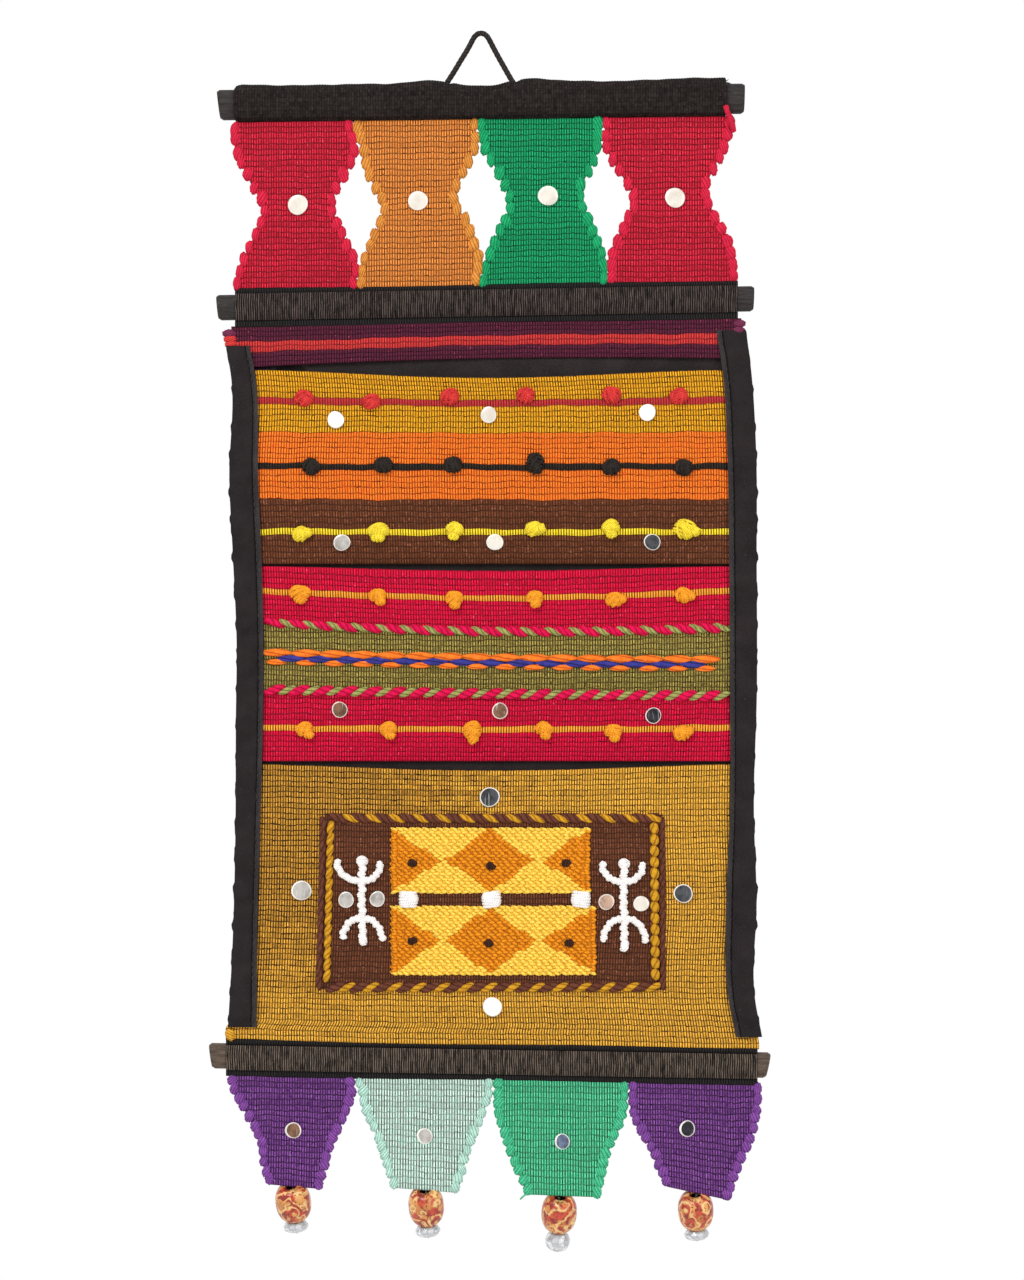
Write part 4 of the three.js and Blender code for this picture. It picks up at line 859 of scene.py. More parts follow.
def bare_threads(mesh, rod, x, heights, look):
    """Warp threads over a rod's front, each a ridge of its own that wanders a little."""
    i = np.arange(len(x))
    t, x = np.meshgrid(heights, x, indexing="ij")
    body = np.sqrt(np.clip(1 - np.abs(t / (ROD_HALF_HIGH + .1)) ** 2.6, 0, 1))
    thread = .8 * np.array(THREAD_STAND)[i % 4] * (.8 + .5 * hashed(i // 4, 0, 3)) - .16 * hashed(i // 4, 7)
    y = ROD_Y[rod] - np.maximum((ROD_HALF_DEEP + 1.0) * body, .9) + .7 - thread
    lean = .35 * ripple(x, t * 6, 2.0, .6) * np.sin(PI * (t - heights[-1]) / (heights[0] - heights[-1]))
    uv = np.stack([np.broadcast_to(i / 4, x.shape), t], -1)
    mesh.grid(np.stack([x + lean, y, axis_z(rod, x) + t], -1), uv, look)


def warp_wrap(rod, look):
    """Unwoven warp round a rod, between the two narrow black strips that hold it."""
    left, right, above, below = WRAPS[rod]
    mesh = Mesh()
    across = np.linspace(left + .4, right - .4, int((right - left) / BARE_PITCH) * 4 + 1)
    heights = np.linspace(above - 3.4, 4.2 - below, 16)
    bare_threads(mesh, rod, across, heights, look)
    few = across[::8]
    along_rod(mesh, rod, few, heights[::5], ROD_HALF_DEEP + .9, look, flip=True)
    along_rod(mesh, rod, few, (4.6 - below, 2.4 - below), -.7, SHADOW)

    def upper_strip(x, v):
        return mix(strip_top(rod, x), axis_z(rod, x) + above - 3.9, v)

    def lower_strip(x, v):
        return mix(axis_z(rod, x) - below + 4.6, strip_bottom(rod, x), v)
    for k, height in enumerate((upper_strip, lower_strip)):
        def place(u, v):
            x = mix(left, right, u)
            return x, ROD_Y[rod] - .3 - .5 * np.sin(PI * v), height(x, v)
        warps = int((right - left) / WARP_PITCH)
        woven(mesh, place, warps, [(1, 1.0, BLACK_WEAVE)], 2.0, 11 + k, relief=.34)
    back = [(.6 - below, 1.0), (4.4 - below, 2.6), (-4, 4.9), (4, 4.9), (above - 3.4, 2.6), (above - .4, 1.0)]
    along_rod(mesh, rod, few, *zip(*back), BLACK_WEAVE)
    wrap = mesh.make(f"wrap_{rod}", "warp_yarn", [f"warp_wrap_{rod}"])


# tabs
UPPER_EDGES = [  # height, then left and right edge of the red, ochre, green and red tab
    (-54, -158, -82.5, -82.5, -2.2, -2.2, 77.1, 77.1, 160.9),
    (-70, -157.4, -77.5, -77.3, -1, -.7, 76.5, 76.4, 157.4),
    (-84.9, -151, -82.7, -74.1, -8, 7.6, 71.3, 83.9, 149.9),
    (-97.5, -144.3, -90.1, -67.6, -13.9, 13.6, 65.2, 91.8, 144.4),
    (-105.8, -139.2, -92.7, -63.4, -14.4, 16.8, 65.2, 95, 145),
    (-116.5, -141.4, -88.6, -66, -7.2, 13.3, 70.2, 90.7, 150.1),
    (-129.1, -147.4, -82.8, -71.7, -2.4, 6.4, 75, 84.6, 157.6),
    (-142, -153.4, -76.9, -76.7, 1.5, 1.7, 79.5, 79.7, 161.2),
    (-157, -157, -79, -79, -1.6, -1.6, 80, 80, 162.2)]
LOWER_EDGES = [  # the same of the purple, mint, green and purple tab
    (-658.5, -161.2, -80.2, -80, 7.5, 7.7, 93.4, 93.6, 177.3),
    (-667.6, -158.6, -78.9, -77.4, 7.2, 8, 92.8, 93.6, 177.2),
    (-679, -152.6, -82.7, -75.2, 3.4, 8.6, 91.9, 94, 175.6),
    (-691.6, -145.4, -87.9, -69.3, -1.6, 12.4, 86.4, 98.5, 172.4),
    (-704.2, -140.1, -93.6, -64.7, -6.6, 16.7, 81.2, 105.3, 166.3),
    (-716.9, -138.6, -96.3, -60.8, -10.2, 21.8, 78.2, 110, 161.2),
    (-730, -134, -100.6, -56, -14.8, 28.5, 74.8, 115.3, 156.6)]
HEMS = [(-723.9, -727.2), (-726, -729.6), (-730.4, -732.3), (-724.8, -734.6)]    # left and right height
HEM_HEIGHT = -725
INSET = 1.9          # from the outline to the cloth, filled by the selvedge loops
TAB_WARPS, TAB_THICK = 49, 2.2
LOOSE = {  # yarn ends that hang loose from a tab: path, thickness and plies
    "tab_red_right": ([(154.3, -7.0, -45.6), (154.9, -7.2, -48.6), (156.6, -6.0, -52), (158.6, -4.2, -56.5),
                       (159.4, -2.6, -61)], 1.75, 2),
    "tab_green_low": ([(33, -10, -729), (29.4, -10.4, -729.6), (26.6, -10.6, -731.6), (24.8, -10.6, -733.4)],
                      .55, 0)}
Tab = namedtuple("Tab", "name slot cloth yarn curl")
UPPER_TABS = [
    Tab("red_left", "red_weave", RED, RED_YARN, .7), Tab("ochre", "ochre_weave", OCHRE, OCHRE_YARN, -.6),
    Tab("green", "green_weave", GREEN, GREEN_YARN, .8), Tab("red_right", "red_weave", RED, RED_YARN, -.7)]
LOWER_TABS = [
    Tab("purple_left", "purple_weave", PURPLE, PURPLE_YARN, .9),
    Tab("mint", "mint_weave", MINT, MINT_YARN, -.6), Tab("green", "sea_weave", SEA, SEA_YARN, .6),
    Tab("purple_right", "purple_weave", PURPLE, PURPLE_YARN, -.9)]


def selvedge(mesh, at, count, side, look, pitch, seed):
    """The weft turning back at an edge: fat slanting lumps of yarn, one close after another."""
    for k in range(count):
        luck = [hashed(k, seed, n) for n in range(8)]
        x, y, z = at((k + .5 + .24 * (luck[6] - .5)) / count)
        reach = 3.1 * (.84 + .34 * luck[1])
        size = (reach, 2.3, pitch * .62 * (.9 + .22 * luck[4]))
        centre = (x - side * (reach - .45), y - .3 - .3 * luck[7], z)
        ball(mesh, centre, size, look, sides=14, lines=10, groove=.2, turns=1.9 + luck[2],
             lean=side * (.9 + .5 * luck[3]), tilt=side * (-.12 + .42 * luck[5]), seed=k * .37 + seed)


def tab(name, node, look, edges, column, top, bottom, drape, rows, loops, seed):
    """A tab between two curved edges; top and bottom give its height at x, drape its y on the way down."""
    left, right = table(edges, column), table(edges, column + 1)
    z_first, z_last = edges[0][0], edges[-1][0]
    span = np.linspace(z_first, z_last, 60)
    far_left, far_right = left(span).min() + INSET, right(span).max() - INSET

    def y_of(u, v):
        return drape(v) + look.curl * np.sin(PI * v) * (2 * u - 1)

    def place(u, v):
        z = mix(z_first, z_last, v)
        x = np.clip(mix(far_left, far_right, u), left(z) + INSET, right(z) - INSET)
        return x, y_of(u, v), mix(top(x), bottom(x), v)
    mesh = Mesh()
    woven(mesh, place, TAB_WARPS, [(rows, 1.0, look.cloth)], TAB_THICK, seed)
    for side, u, edge in ((-1, 0, left), (1, 1, right)):
        def at(v):
            x = edge(mix(z_first, z_last, v))
            return x, y_of(u, v), mix(top(x), bottom(x), v)
        selvedge(mesh, at, loops, side, look.yarn, (z_first - z_last) / loops, seed + side)
    if name in LOOSE:
        path, thick, plies = LOOSE[name]
        tube(mesh, path, thick, look.yarn, plies=plies)
    return mesh.make(name, look.slot, [node])


def upper_tab(k, look):
    """From the sleeve down to the strip over the middle rod."""
    def top(x):
        return axis_z("top", x) - 11.4

    def bottom(x):
        return strip_top("middle", x) - .5

    def drape(v):
        return mix(ROD_Y["top"], ROD_Y["middle"], v)
    cloth = tab(f"tab_{look.name}", f"tab_upper_{look.name}", look, UPPER_EDGES, 1 + 2 * k,
                top, bottom, drape, rows=30, loops=14, seed=20 + k)


def lower_tab(k, look):
    """From the strip under the bottom rod to a hem that the beads hold forward."""
    left, right = (table(LOWER_EDGES, 1 + 2 * k + end)(HEM_HEIGHT) for end in (0, 1))

    def top(x):
        return strip_bottom("bottom", x) + .6

    def bottom(x):
        return mix(*HEMS[k], np.clip((x - left) / (right - left), 0, 1))

    def drape(v):
        return mix(ROD_Y["bottom"], HEM_Y + .1, v ** 1.35)
    cloth = tab(f"tab_{look.name}_low", f"tab_lower_{look.name}", look, LOWER_EDGES, 1 + 2 * k,
                top, bottom, drape, rows=19, loops=12, seed=40 + k)


# band and lining
BAND_WARPS, BAND_THICK, BAND_ENDS, BAND_Y = 193, 2.2, (-157.9, 164.6), 1.3
BAND_ROWS = [(3, .37, PLUM), (2, .64, BAND_RED), (3, 1.0, PLUM)]
BAND_LUMPS = [  # x, z, side and yarn of the weft turns at the band's ends
    (-159.4, -188.0, -1, PLUM_YARN), (-158.6, -191.6, -1, BAND_RED), (-157.8, -195, -1, BAND_RED),
    (163.2, -181.6, 1, PLUM_YARN), (162.8, -186, 1, PLUM_YARN)]
LINING_TOP, LINING_BOTTOM, LINING_Y, LINING_THICK = -200.0, -628.0, 2.6, 1.0


def striped_band():
    def place(u, v):
        x = mix(*BAND_ENDS, u)
        top = strip_bottom("middle", mix(-159.4, 165, u)) + .7
        bottom = mix(-210, -204, u) + 3 * np.sin(PI * u)
        return x, BAND_Y + .35 * np.sin(x / 37), mix(top, bottom, v)
    mesh = Mesh()
    woven(mesh, place, BAND_WARPS, BAND_ROWS, BAND_THICK, 60)
    for x, z, side, look in BAND_LUMPS:
        ball(mesh, (x, 1.1, z), (4.4, 2.4, 2.6), look, sides=14, lines=10, groove=.13, turns=2.6,
             lean=.6 * side)
    band = mesh.make("band_striped", "plum_weave", ["stripe_band"])


def lining():
    """Smooth cloth behind the pockets; its upper edge follows the band's."""
    u, v = np.meshgrid(np.linspace(0, 1, 48), np.linspace(0, 1, 60))
    z = mix(LINING_TOP, LINING_BOTTOM, v)
    x = mix(held_left(z), held_right(z), u)
    y = LINING_Y + sway(x, z) + .18 * ripple(x, z, 7, 1.5)
    arch = np.where(v == 0, -3.4 + 3 * np.sin(PI * u) + mix(-6, 0, u), 0)
    mesh = Mesh()
    for behind, flip in ((0, False), (LINING_THICK, True)):
        mesh.grid(np.stack([x, y + behind, z + arch], -1), np.stack([x, z], -1), BLACK_TAPE, flip)
    cloth = mesh.make("lining_cloth", "black_tape", ["lining"])


# pockets
POCKET_WARPS = 194
POCKET_ROWS = {  # rows of weft, the height where they end, and their yarn
    "upper": [(5, -228.2, MUSTARD), (1, -232.6, LINE_RED), (5, -250.3, MUSTARD), (6, -270.1, ORANGE),
              (1, -274.0, LINE_BLACK), (5, -292.8, ORANGE), (5, -311.5, BROWN), (1, -315.3, LINE_YELLOW),
              (5, -334, BROWN)],
    "middle": [(4, -349.0, CRIMSON), (1, -352.9, LINE_ORANGE), (6, -372.4, CRIMSON), (12, -414.6, OLIVE),
               (6, -435.4, CRIMSON), (1, -439.3, LINE_ORANGE), (6, -458.6, CRIMSON)],
    "lower": [(51, -637, MUSTARD_LOW)]}
LINES = (LINE_RED, LINE_BLACK, LINE_YELLOW, LINE_ORANGE)
PANEL_TOP, PANEL_BOTTOM = -491.3, -602.8
PANEL_LEFT, PANEL_RIGHT = (-98.2, -102.2), (115, 116)    # at the panel's top and bottom
TURN_AT, TURN_SIZE = (-158.6, 0, -631.6), (3.1, 2.4, 3.9)


def pocket_place(name):
    pocket = POCKETS[name]

    def place(u, v):
        z = mix(pocket.side, pocket.bottom, v)
        flare = 3.4 * np.clip((-624.5 - z) / 5, 0, 1) if name == "lower" else 0
        x = mix(held_left(z) - flare, held_right(z), u)
        arch = np.sin(PI * between_tapes(x, z))
        if name == "lower":
            z = mix(pocket.side, strip_top("bottom", x) - .6, v)
        foot = 1 - np.clip(v - .94, 0, 1) / .06
        sag = mix(*pocket.sags, v) * np.sin(PI * np.clip(v * 9, 0, .5)) * foot
        z = z - (pocket.side - pocket.low) * arch ** 1.5 * (1 - v) ** 9 - sag * arch
        covered = np.clip((np.maximum(left_in(z) - x, x - right_in(z)) + 3) / 4, 0, 1)
        return x, pocket_y(name, x, z) + .9 * covered, z
    return place


def panel_colour(mesh):
    """The lower pocket's cloth: a brown panel, and dirt and painted shade in short runs at the upper left."""
    panel, mid, dark = (mesh.slot_of(look) for look in (PANEL_BROWN, MUSTARD_MID, MUSTARD_DARK))

    def recolour(x, z, slots):
        line, column = np.indices(slots.shape)
        # darker toward the upper left: part dirt, part painted shade
        dark_share = np.clip((60 - x) / 150, 0, .95) * np.clip((z + 622) / 70, 0, 1)
        dark_share = dark_share + .62 * (hashed(line // 3, column // 9, 91) - .5)
        slots = np.where(dark_share > .3, np.where(dark_share > .6, dark, mid), slots)
        down = np.clip((z - PANEL_TOP) / (PANEL_BOTTOM - PANEL_TOP), 0, 1)
        across = (x > mix(*PANEL_LEFT, down)) & (x < mix(*PANEL_RIGHT, down))
        return np.where(across & (z < PANEL_TOP) & (z > PANEL_BOTTOM), panel, slots)
    return recolour


def pocket_cloth(number, name):
    pocket = POCKETS[name]
    tall = pocket.side - pocket.bottom
    groups = [(count, (pocket.side - end) / tall, look) for count, end, look in POCKET_ROWS[name]]
    mesh = Mesh()
    recolour = panel_colour(mesh) if name == "lower" else None
    woven(mesh, pocket_place(name), POCKET_WARPS, groups, POCKET_THICK, 70 + number, recolour=recolour,
          proud=LINES)
    if name == "lower":
        ball(mesh, TURN_AT, TURN_SIZE, MUSTARD_YARN, sides=16, lines=10, groove=.2, turns=2.5, lean=.6,
             tilt=.3)
    cloth = mesh.make(f"pocket_cloth_{name}", pocket.slot, [f"pocket_{name}"])


# bindings
LEG_FRONT, LEG_BACK = -1.8, 4.9      # y of a tape's front and back leg
FRONT_SHARES = (0, .06, .12, .17, .2, .23, .28, .4, .55, .7, .85, .94, 1)    # from the inner edge to the fold
TAPE_LINES, TAPE_STITCH_PITCH = 180, 4.4


def tape_section(outer, inner, z):
    """x and y of a folded tape's section at each height, right round it and back to its start."""
    fold, lip = outer(z), inner(z)
    side = np.sign(fold - lip)
    swing = sway((fold + lip) / 2, z)
    pucker = .4 * ripple(z * 1.6, z, 3, 2.2) + .3 * np.sin(z * TAU / 9.5) + .5 * np.sin(z * TAU / 37 + 1)
    wave = .7 * ripple(z * 2.2, z * .7, 5) + .45 * np.sin(z * TAU / 21) + .3 * np.sin(z * TAU / 8.3)
    line = []
    for s in FRONT_SHARES:
        crease = .45 * np.sin(z * TAU / 13 + 5 * s) * np.sin(PI * s)
        groove = .7 * s ** 6 + .6 * np.exp(-((s - .2) / .06) ** 2) - .35 * np.sin(PI * s)
        line.append((mix(lip, fold, s) + side * wave * s,
                     LEG_FRONT + swing + groove + crease + pucker * (1.1 - s * .6)))
    for s in np.linspace(0, 1, 6)[1:-1]:
        line.append((fold + side * .25 * np.sin(PI * s), mix(LEG_FRONT + .7, LEG_BACK - .5, s) + swing))
    for s in np.linspace(1, 0, 9):
        line.append((mix(lip, fold, s), LEG_BACK + swing - .6 * s ** 6 + pucker * (1 - s) * .5))
    mouth, deep, back, front = lip + side * .3, fold - side * 1.4, LEG_BACK - 1, LEG_FRONT + 1
    line += [(x, y + swing) for x, y in ((mouth, back), (deep, back), (deep, front), (mouth, front))]
    return np.stack(line + line[:1], -1), side[0]


def binding(name, outer, inner, rows):
    top, bottom = rows[0][0], rows[-1][0]
    z = np.linspace(top, bottom, TAPE_LINES)
    (x, y), side = tape_section(outer, inner, z)
    mesh = Mesh()
    strips = np.full(x.shape[1] - 1, mesh.slot_of(BINDING_CLOTH))
    # painted highlight on the fold's lip, painted shade in the groove behind it
    strips[:3], strips[3:5] = mesh.slot_of(BINDING_LIP_HIGHLIGHT), mesh.slot_of(SHADOW)
    skin = np.stack([x, y, np.broadcast_to(z[:, None], x.shape)], -1)
    mesh.grid(skin, skin[..., ::2], np.tile(strips, (len(z) - 1, 1)), flip=side > 0)
    for k in range(int((top - bottom) / TAPE_STITCH_PITCH)):
        at = top - 2 - TAPE_STITCH_PITCH * k
        x = mix(inner(at), outer(at), .16)
        y = LEG_FRONT + sway(x, at)
        stitch = [(x, y + out, at - down) for out, down in ((0, 0), (-.45, .6), (-.45, 2.2), (0, 2.8))]
        tube(mesh, stitch, .3, TAPE_STITCH, sides=5)
    tape = mesh.make(f"binding_cloth_{name}", "black_tape", [f"binding_{name}"])


# knots on the pockets
KNOT_ROWS = [  # name, pocket, yarn, then x, z, half width and half height of each knot
    ("red", "upper", KNOT_RED, [
        (-111.5, -229.4, 6, 5.4), (-68.9, -232.1, 5.8, 5.2), (-19.6, -229, 6, 5.4),
        (28.1, -228.2, 5.7, 5.2), (82, -227.8, 6, 5.5), (124.7, -228.3, 5.8, 5.3)]),
    ("black", "upper", KNOT_BLACK, [
        (-107.1, -272.6, 5.8, 5.4), (-61.5, -271.9, 6, 5.3), (-17.5, -271.7, 5.8, 5.5),
        (34.1, -270.9, 5.6, 7.4), (82.2, -273.2, 6, 5.4), (127.7, -273.2, 6.1, 5.5)]),
    ("yellow", "upper", KNOT_YELLOW, [
        (-113.1, -314.9, 6, 5.8), (-64.7, -313.9, 7.8, 5.8), (-16.7, -312.9, 6.2, 5.7),
        (34.1, -311.8, 6, 6), (82, -311.6, 6.3, 5.8), (129.6, -312.2, 7.8, 7.6)]),
    ("amber", "middle", KNOT_AMBER, [
        (-114.1, -352.8, 7.6, 5.7), (-64.7, -354.7, 6, 5.3), (-16.7, -356.4, 6.2, 5.6),
        (34.1, -356, 5.8, 5.4), (84.7, -356.4, 6.1, 5.6), (128.3, -353.7, 6, 5.8)]),
    ("amber_low", "middle", KNOT_AMBER, [
        (-110.9, -438.8, 6, 5.6), (-58.3, -438.8, 6.2, 5.4), (-5.4, -439.9, 6.3, 7.2),
        (39.8, -438.8, 6, 5.6), (83.6, -440.3, 6.1, 5.5), (127.5, -440.4, 6, 5.8)])]
PLAIN_ROWS = 2      # the first rows have single knots, the others a small second knot at each one's side
KNOT_DEEP, SECOND_DEEP = 4.2, 2.9


def wound(mesh, at, wide, high, deep, look, seed, strands=8, thick=.82):
    """A knot: strands laid side by side over a small core, then a few more that cross them."""
    x, y, z = at
    ball(mesh, at, (wide * .86, deep * .8, high * .86), look, seed=seed)
    wave = np.linspace(-1.45, 1.45, 13)
    layers = ((strands, hashed(seed, 1) * 1.6 - 1.1, 0), (3, hashed(seed, 2) * 1.4 + .5, .5))
    for layer, (number, turn, lift) in enumerate(layers):
        for k in range(number):
            off = mix(-.82, .82, (k + .5) / number) + .1 * (hashed(seed, k, layer) - .5)
            reach = math.sqrt(1 - off * off)
            aside = off + .1 * np.sin(wave * 2 + k) + .12 * np.cos(wave)
            dx, dz = turned(np.sin(wave) * reach, aside, turn)
            out = deep * np.cos(wave) * reach + lift
            path = np.stack([x + dx * (wide - thick * .6), y - out, z + dz * (high - thick * .6)], -1)
            tube(mesh, path, thick * (.92 + .2 * hashed(seed, k, 9)), look, sides=6)


def knot_row(row, name, pocket, look, knots):
    mesh = Mesh()
    for k, (x, z, wide, high) in enumerate(knots):
        y, seed = on_pocket(pocket, x, z) - .4, row * 10 + k
        if row < PLAIN_ROWS:
            wound(mesh, (x, y, z), wide, high, KNOT_DEEP, look, seed)
            continue
        way = -1.9 + 2.4 * hashed(row, k, 31) if k % 2 else .4 - 2.2 * hashed(row, k, 32)
        dx, dz = wide * math.cos(way), high * math.sin(way)
        wound(mesh, (x - .14 * dx, y, z - .14 * dz), wide * .9, high * .88, KNOT_DEEP, look, seed)
        second = (x + .6 * dx, y - 1.1, z + .6 * dz)
        wound(mesh, second, wide * .56, high * .52, SECOND_DEEP, look, seed + 50, strands=5)
    mesh.make(f"knots_{name}", POCKETS[pocket].slot)


# braids and chain on the middle pocket
BRAID_ENDS = (-134.6, 154.8)
CHAIN_START, CHAIN_PITCH, CHAIN_LINKS = -128.5, 18.0, 17
CHAIN_STRANDS = [  # offset in pitches, how far down, thickness, half length and yarn
    (0, 0, 2.5, 10.2, CHAIN_ORANGE), (.5, 3.5, 2.2, 10.0, CHAIN_BLUE), (0, 5.9, 1.9, 7.0, CHAIN_ORANGE)]
LOZENGE = np.linspace(-1, 1, 11)
EASED = np.sin(LOZENGE * PI / 2)


def spindle(mesh, at, dx, dz, thick, look, seed, flat=.8, sharp=.55, ply_deep=.16):
    """A float of soft yarn, fat in its middle and tucked in at both ends. dx and dz lead along it."""
    x, y, z = at
    path = np.stack([x + dx, y + .9 * thick * LOZENGE ** 4, z + dz], -1)
    radius = thick * np.clip(1 - LOZENGE ** 2, .02, 1) ** sharp
    tube(mesh, path, radius, look, sides=10, plies=4, lean=.12, ply_deep=ply_deep, flat=flat,
         spin=hashed(seed, 3) * 3)


def twist(mesh, ends, pitch, place, rise, looks, shares, thick, seed):
    """Two strands twisted round each other along x: slanting floats of one yarn, then of the other."""
    start, end = ends
    count = round((end - start) / pitch)
    step = (end - start) / count
    middles = (shares[0] / 2, shares[0] + shares[1] / 2)
    for k in range(count):
        slant = rise * (.92 + .16 * hashed(seed, k, 5)) * EASED
        for part, look in enumerate(looks):
            at = place(start + step * (k + middles[part]) + .5 * (hashed(seed, k, part) - .5))
            reach = step * (shares[part] * .5 + .2) * LOZENGE
            spindle(mesh, at, reach, slant, thick[part], look, k + seed)


def sagging(left, middle, right, out):
    """place(x) on a sagging line over the middle pocket, given by three heights."""
    def place(x):
        u = (x - left_in(-400)) / (right_in(-400) - left_in(-400))
        z = left * (1 - u) * (1 - 2 * u) + 4 * middle * u * (1 - u) + right * u * (2 * u - 1)
        return x, on_pocket("middle", x, z) - out, z
    return place


def braids():
    mesh, looks, shares = Mesh(), (CRIMSON_YARN, OLIVE_YARN), (.6, .4)
    twist(mesh, BRAID_ENDS, 14.85, sagging(-370.5, -376.4, -373.7, 1.0), -1.8, looks, shares, (2.5, 1.9), 1)
    twist(mesh, BRAID_ENDS, 15.6, sagging(-413.2, -415.8, -417.2, 1.0), 1.9, looks, shares, (2.6, 2.0), 2)
    mesh.make("braids_middle", "crimson_weave")


def chain():
    mesh, place = Mesh(), sagging(-389.6, -392.8, -394.0, .9)
    for k in range(CHAIN_LINKS):
        for offset, drop, thick, reach, look in CHAIN_STRANDS:
            x = CHAIN_START + CHAIN_PITCH * (k + offset) + .7 * (hashed(k, 1, drop) - .5)
            if BRAID_ENDS[0] + 4 < x < BRAID_ENDS[1] - 4:
                x, y, z = place(x)
                spindle(mesh, (x, y, z - drop), reach * LOZENGE, 0 * LOZENGE, thick, look, k, flat=.7)
    mesh.make("chain_middle", "crimson_weave")


# rope border of the brown panel
BORDER_TOP, BORDER_TALL = -494, 108
BORDER_LEVELS = [  # ends, height, pitch, rise, shares, thickness and seed of the top and bottom rope
    ((-94.0, 112.0), -494.2, 14.75, -1.7, (.6, .4), (2.6, 2.0), 5),
    ((-96.0, 112.5), -601.0, 14.5, 1.8, (.58, .42), (2.6, 2.1), 6)]
BORDER_SIDES = [  # floats, top, pitch, x at top and bottom, how far out, half slant and half height,
    # thickness, yarn and first seed
    (14, -496.5, 7.2, (-94.6, -97.4), 1.0, -.9, 4.5, 2.2, BORDER_GOLD, 0),
    (14, -497, 7.1, (109.2, 110.2), 1.2, .4, 3.3, 3.0, BORDER_GOLD, 40),
    (15, -494, 7.2, (-99.3, -102.4), .7, .5, 5.0, 2.2, BORDER_BROWN, 80),
    (15, -494, 7.2, (114.2, 114.9), .7, .5, 5.0, 2.1, BORDER_BROWN, 80)]


def level(z):
    def place(x):
        return x, on_pocket("lower", x, z) - .7, z
    return place


def panel_border():
    mesh = Mesh()
    for ends, height, pitch, rise, shares, thick, seed in BORDER_LEVELS:
        twist(mesh, ends, pitch, level(height), rise, (BORDER_BROWN, BORDER_GOLD), shares, thick, seed)
    for count, top, pitch, ends, out, slant, tall, thick, look, seed in BORDER_SIDES:
        for k in range(count):
            z = top - pitch * (k + .5)
            x = mix(*ends, (BORDER_TOP - z) / BORDER_TALL)
            at = (x, on_pocket("lower", x, z) - out, z)
            spindle(mesh, at, slant * EASED, -tall * LOZENGE, thick, look, k + seed, sharp=.5, ply_deep=.14)
    mesh.make("panel_border", "amber_weave")


# satin stitched blocks with their diamonds
BLOCKS = [  # left, right, top, bottom, then each diamond: middle x, half width, half height
    (-56.9, 68.9, -500.1, -541.2, [(-56.9, 31.6, 20.6), (5.4, 27.5, 19.8), (68.9, 30.5, 20.6)]),
    (-56.9, 72.7, -549.4, -593.0, [(-56.9, 31.0, 21.6), (5.7, 29.0, 21.0), (72.7, 35.0, 21.6)])]
STITCH, STITCH_ROW = 4.3, 1.9
DOTS = [(-43, -522.2), (6.3, -524.1), (53.7, -522.2), (-43, -571.5), (5.1, -572.8), (55.6, -572.8)]


def satin(mesh, x, z, lean, reach, look, luck):
    """One stitch of a block: a short yarn, lying across and a little aslant."""
    t = np.linspace(-1, 1, 6)
    y = on_pocket("lower", x, z) - 1.0 - .5 * luck[7]
    slant = lean * (.55 + .45 * luck[11]) + .5 * (luck[12] - .5)
    reach = (2.5 + .6 * luck[13]) * reach
    path = np.stack([x + reach * t, y + .55 * t ** 2, z + slant * t + .3 * ripple(x * 3, z * 3, 3)], -1)
    thick = (1.04 + .18 * luck[14]) * np.clip(1 - t ** 2, .06, 1) ** .4
    tube(mesh, path, thick, look, sides=5, ends=False)


def block(mesh, number, left, right, top, bottom, diamonds):
    middle, wide = (top + bottom) / 2, right - left

    def in_diamond(x, z):
        return np.any([np.abs(x - c) / w + np.abs(z - middle) / h < 1 for c, w, h in diamonds], axis=0)
    x, z = np.meshgrid(np.linspace(left + .6, right - .6, 61), np.linspace(top - .5, bottom + .5, 21))
    inside = in_diamond((x[:-1, :-1] + x[1:, 1:]) / 2, (z[:-1, :-1] + z[1:, 1:]) / 2)
    ground = np.where(inside, mesh.slot_of(AMBER_STITCH), mesh.slot_of(LEMON_STITCH))
    mesh.grid(np.stack([x, on_pocket("lower", x, z) - .95, z], -1), np.stack([x / 9, z], -1), ground)
    rows, count = round((top - bottom) / STITCH_ROW), int(wide / STITCH)
    for r in range(rows):
        z, lean = top - (r + .5) * (top - bottom) / rows, 1 if r % 2 else -1
        for k in range(count):
            luck = [hashed(k, r, n) for n in range(15)]
            free = 0 < k < count - 1
            shift = (.25 * lean + .24 * (luck[number] - .5)) * free
            x = left + (k + .5 + shift) * wide / count + .8 * ripple(z * 3, number * 40, 1)
            look = AMBER_STITCH if in_diamond(x, z) else LEMON_STITCH
            satin(mesh, x, z, lean, 1 if free else .78, look, luck)


def diamond_blocks():
    mesh = Mesh()
    for number, facts in enumerate(BLOCKS):
        block(mesh, number, *facts)
    for k, (x, z) in enumerate(DOTS):
        at = (x, on_pocket("lower", x, z) - 1.6, z)
        wound(mesh, at, 3.1, 2.5, 1.6, DOT_BROWN, 60 + k, strands=4, thick=.7)
    mesh.make("diamond_blocks", "amber_weave")


# white pads and stick figures
PADS_X, PAD_Z, PAD_STRANDS = (-45.5, 6.6, 62.9), -545.1, 7
FIGURES = [  # middle x, head top, shoulder, hip, foot of the tail, then reach and height of hands and feet
    (-74.8, -519.5, -533.4, -557.0, -573.6,
     ((-15.6, -520.6), (11.4, -521.6)), ((-12.0, -569.8), (12.4, -571.0))),
    (90.1, -521.2, -534.0, -557.4, -577.4,
     ((-13.6, -521.8), (11.8, -522.6)), ((-12.8, -571.6), (13.6, -572.4)))]
BODY_THICK, LIMB_THICK, PLY_TURN = 2.35, 2.15, TAU / 6.6


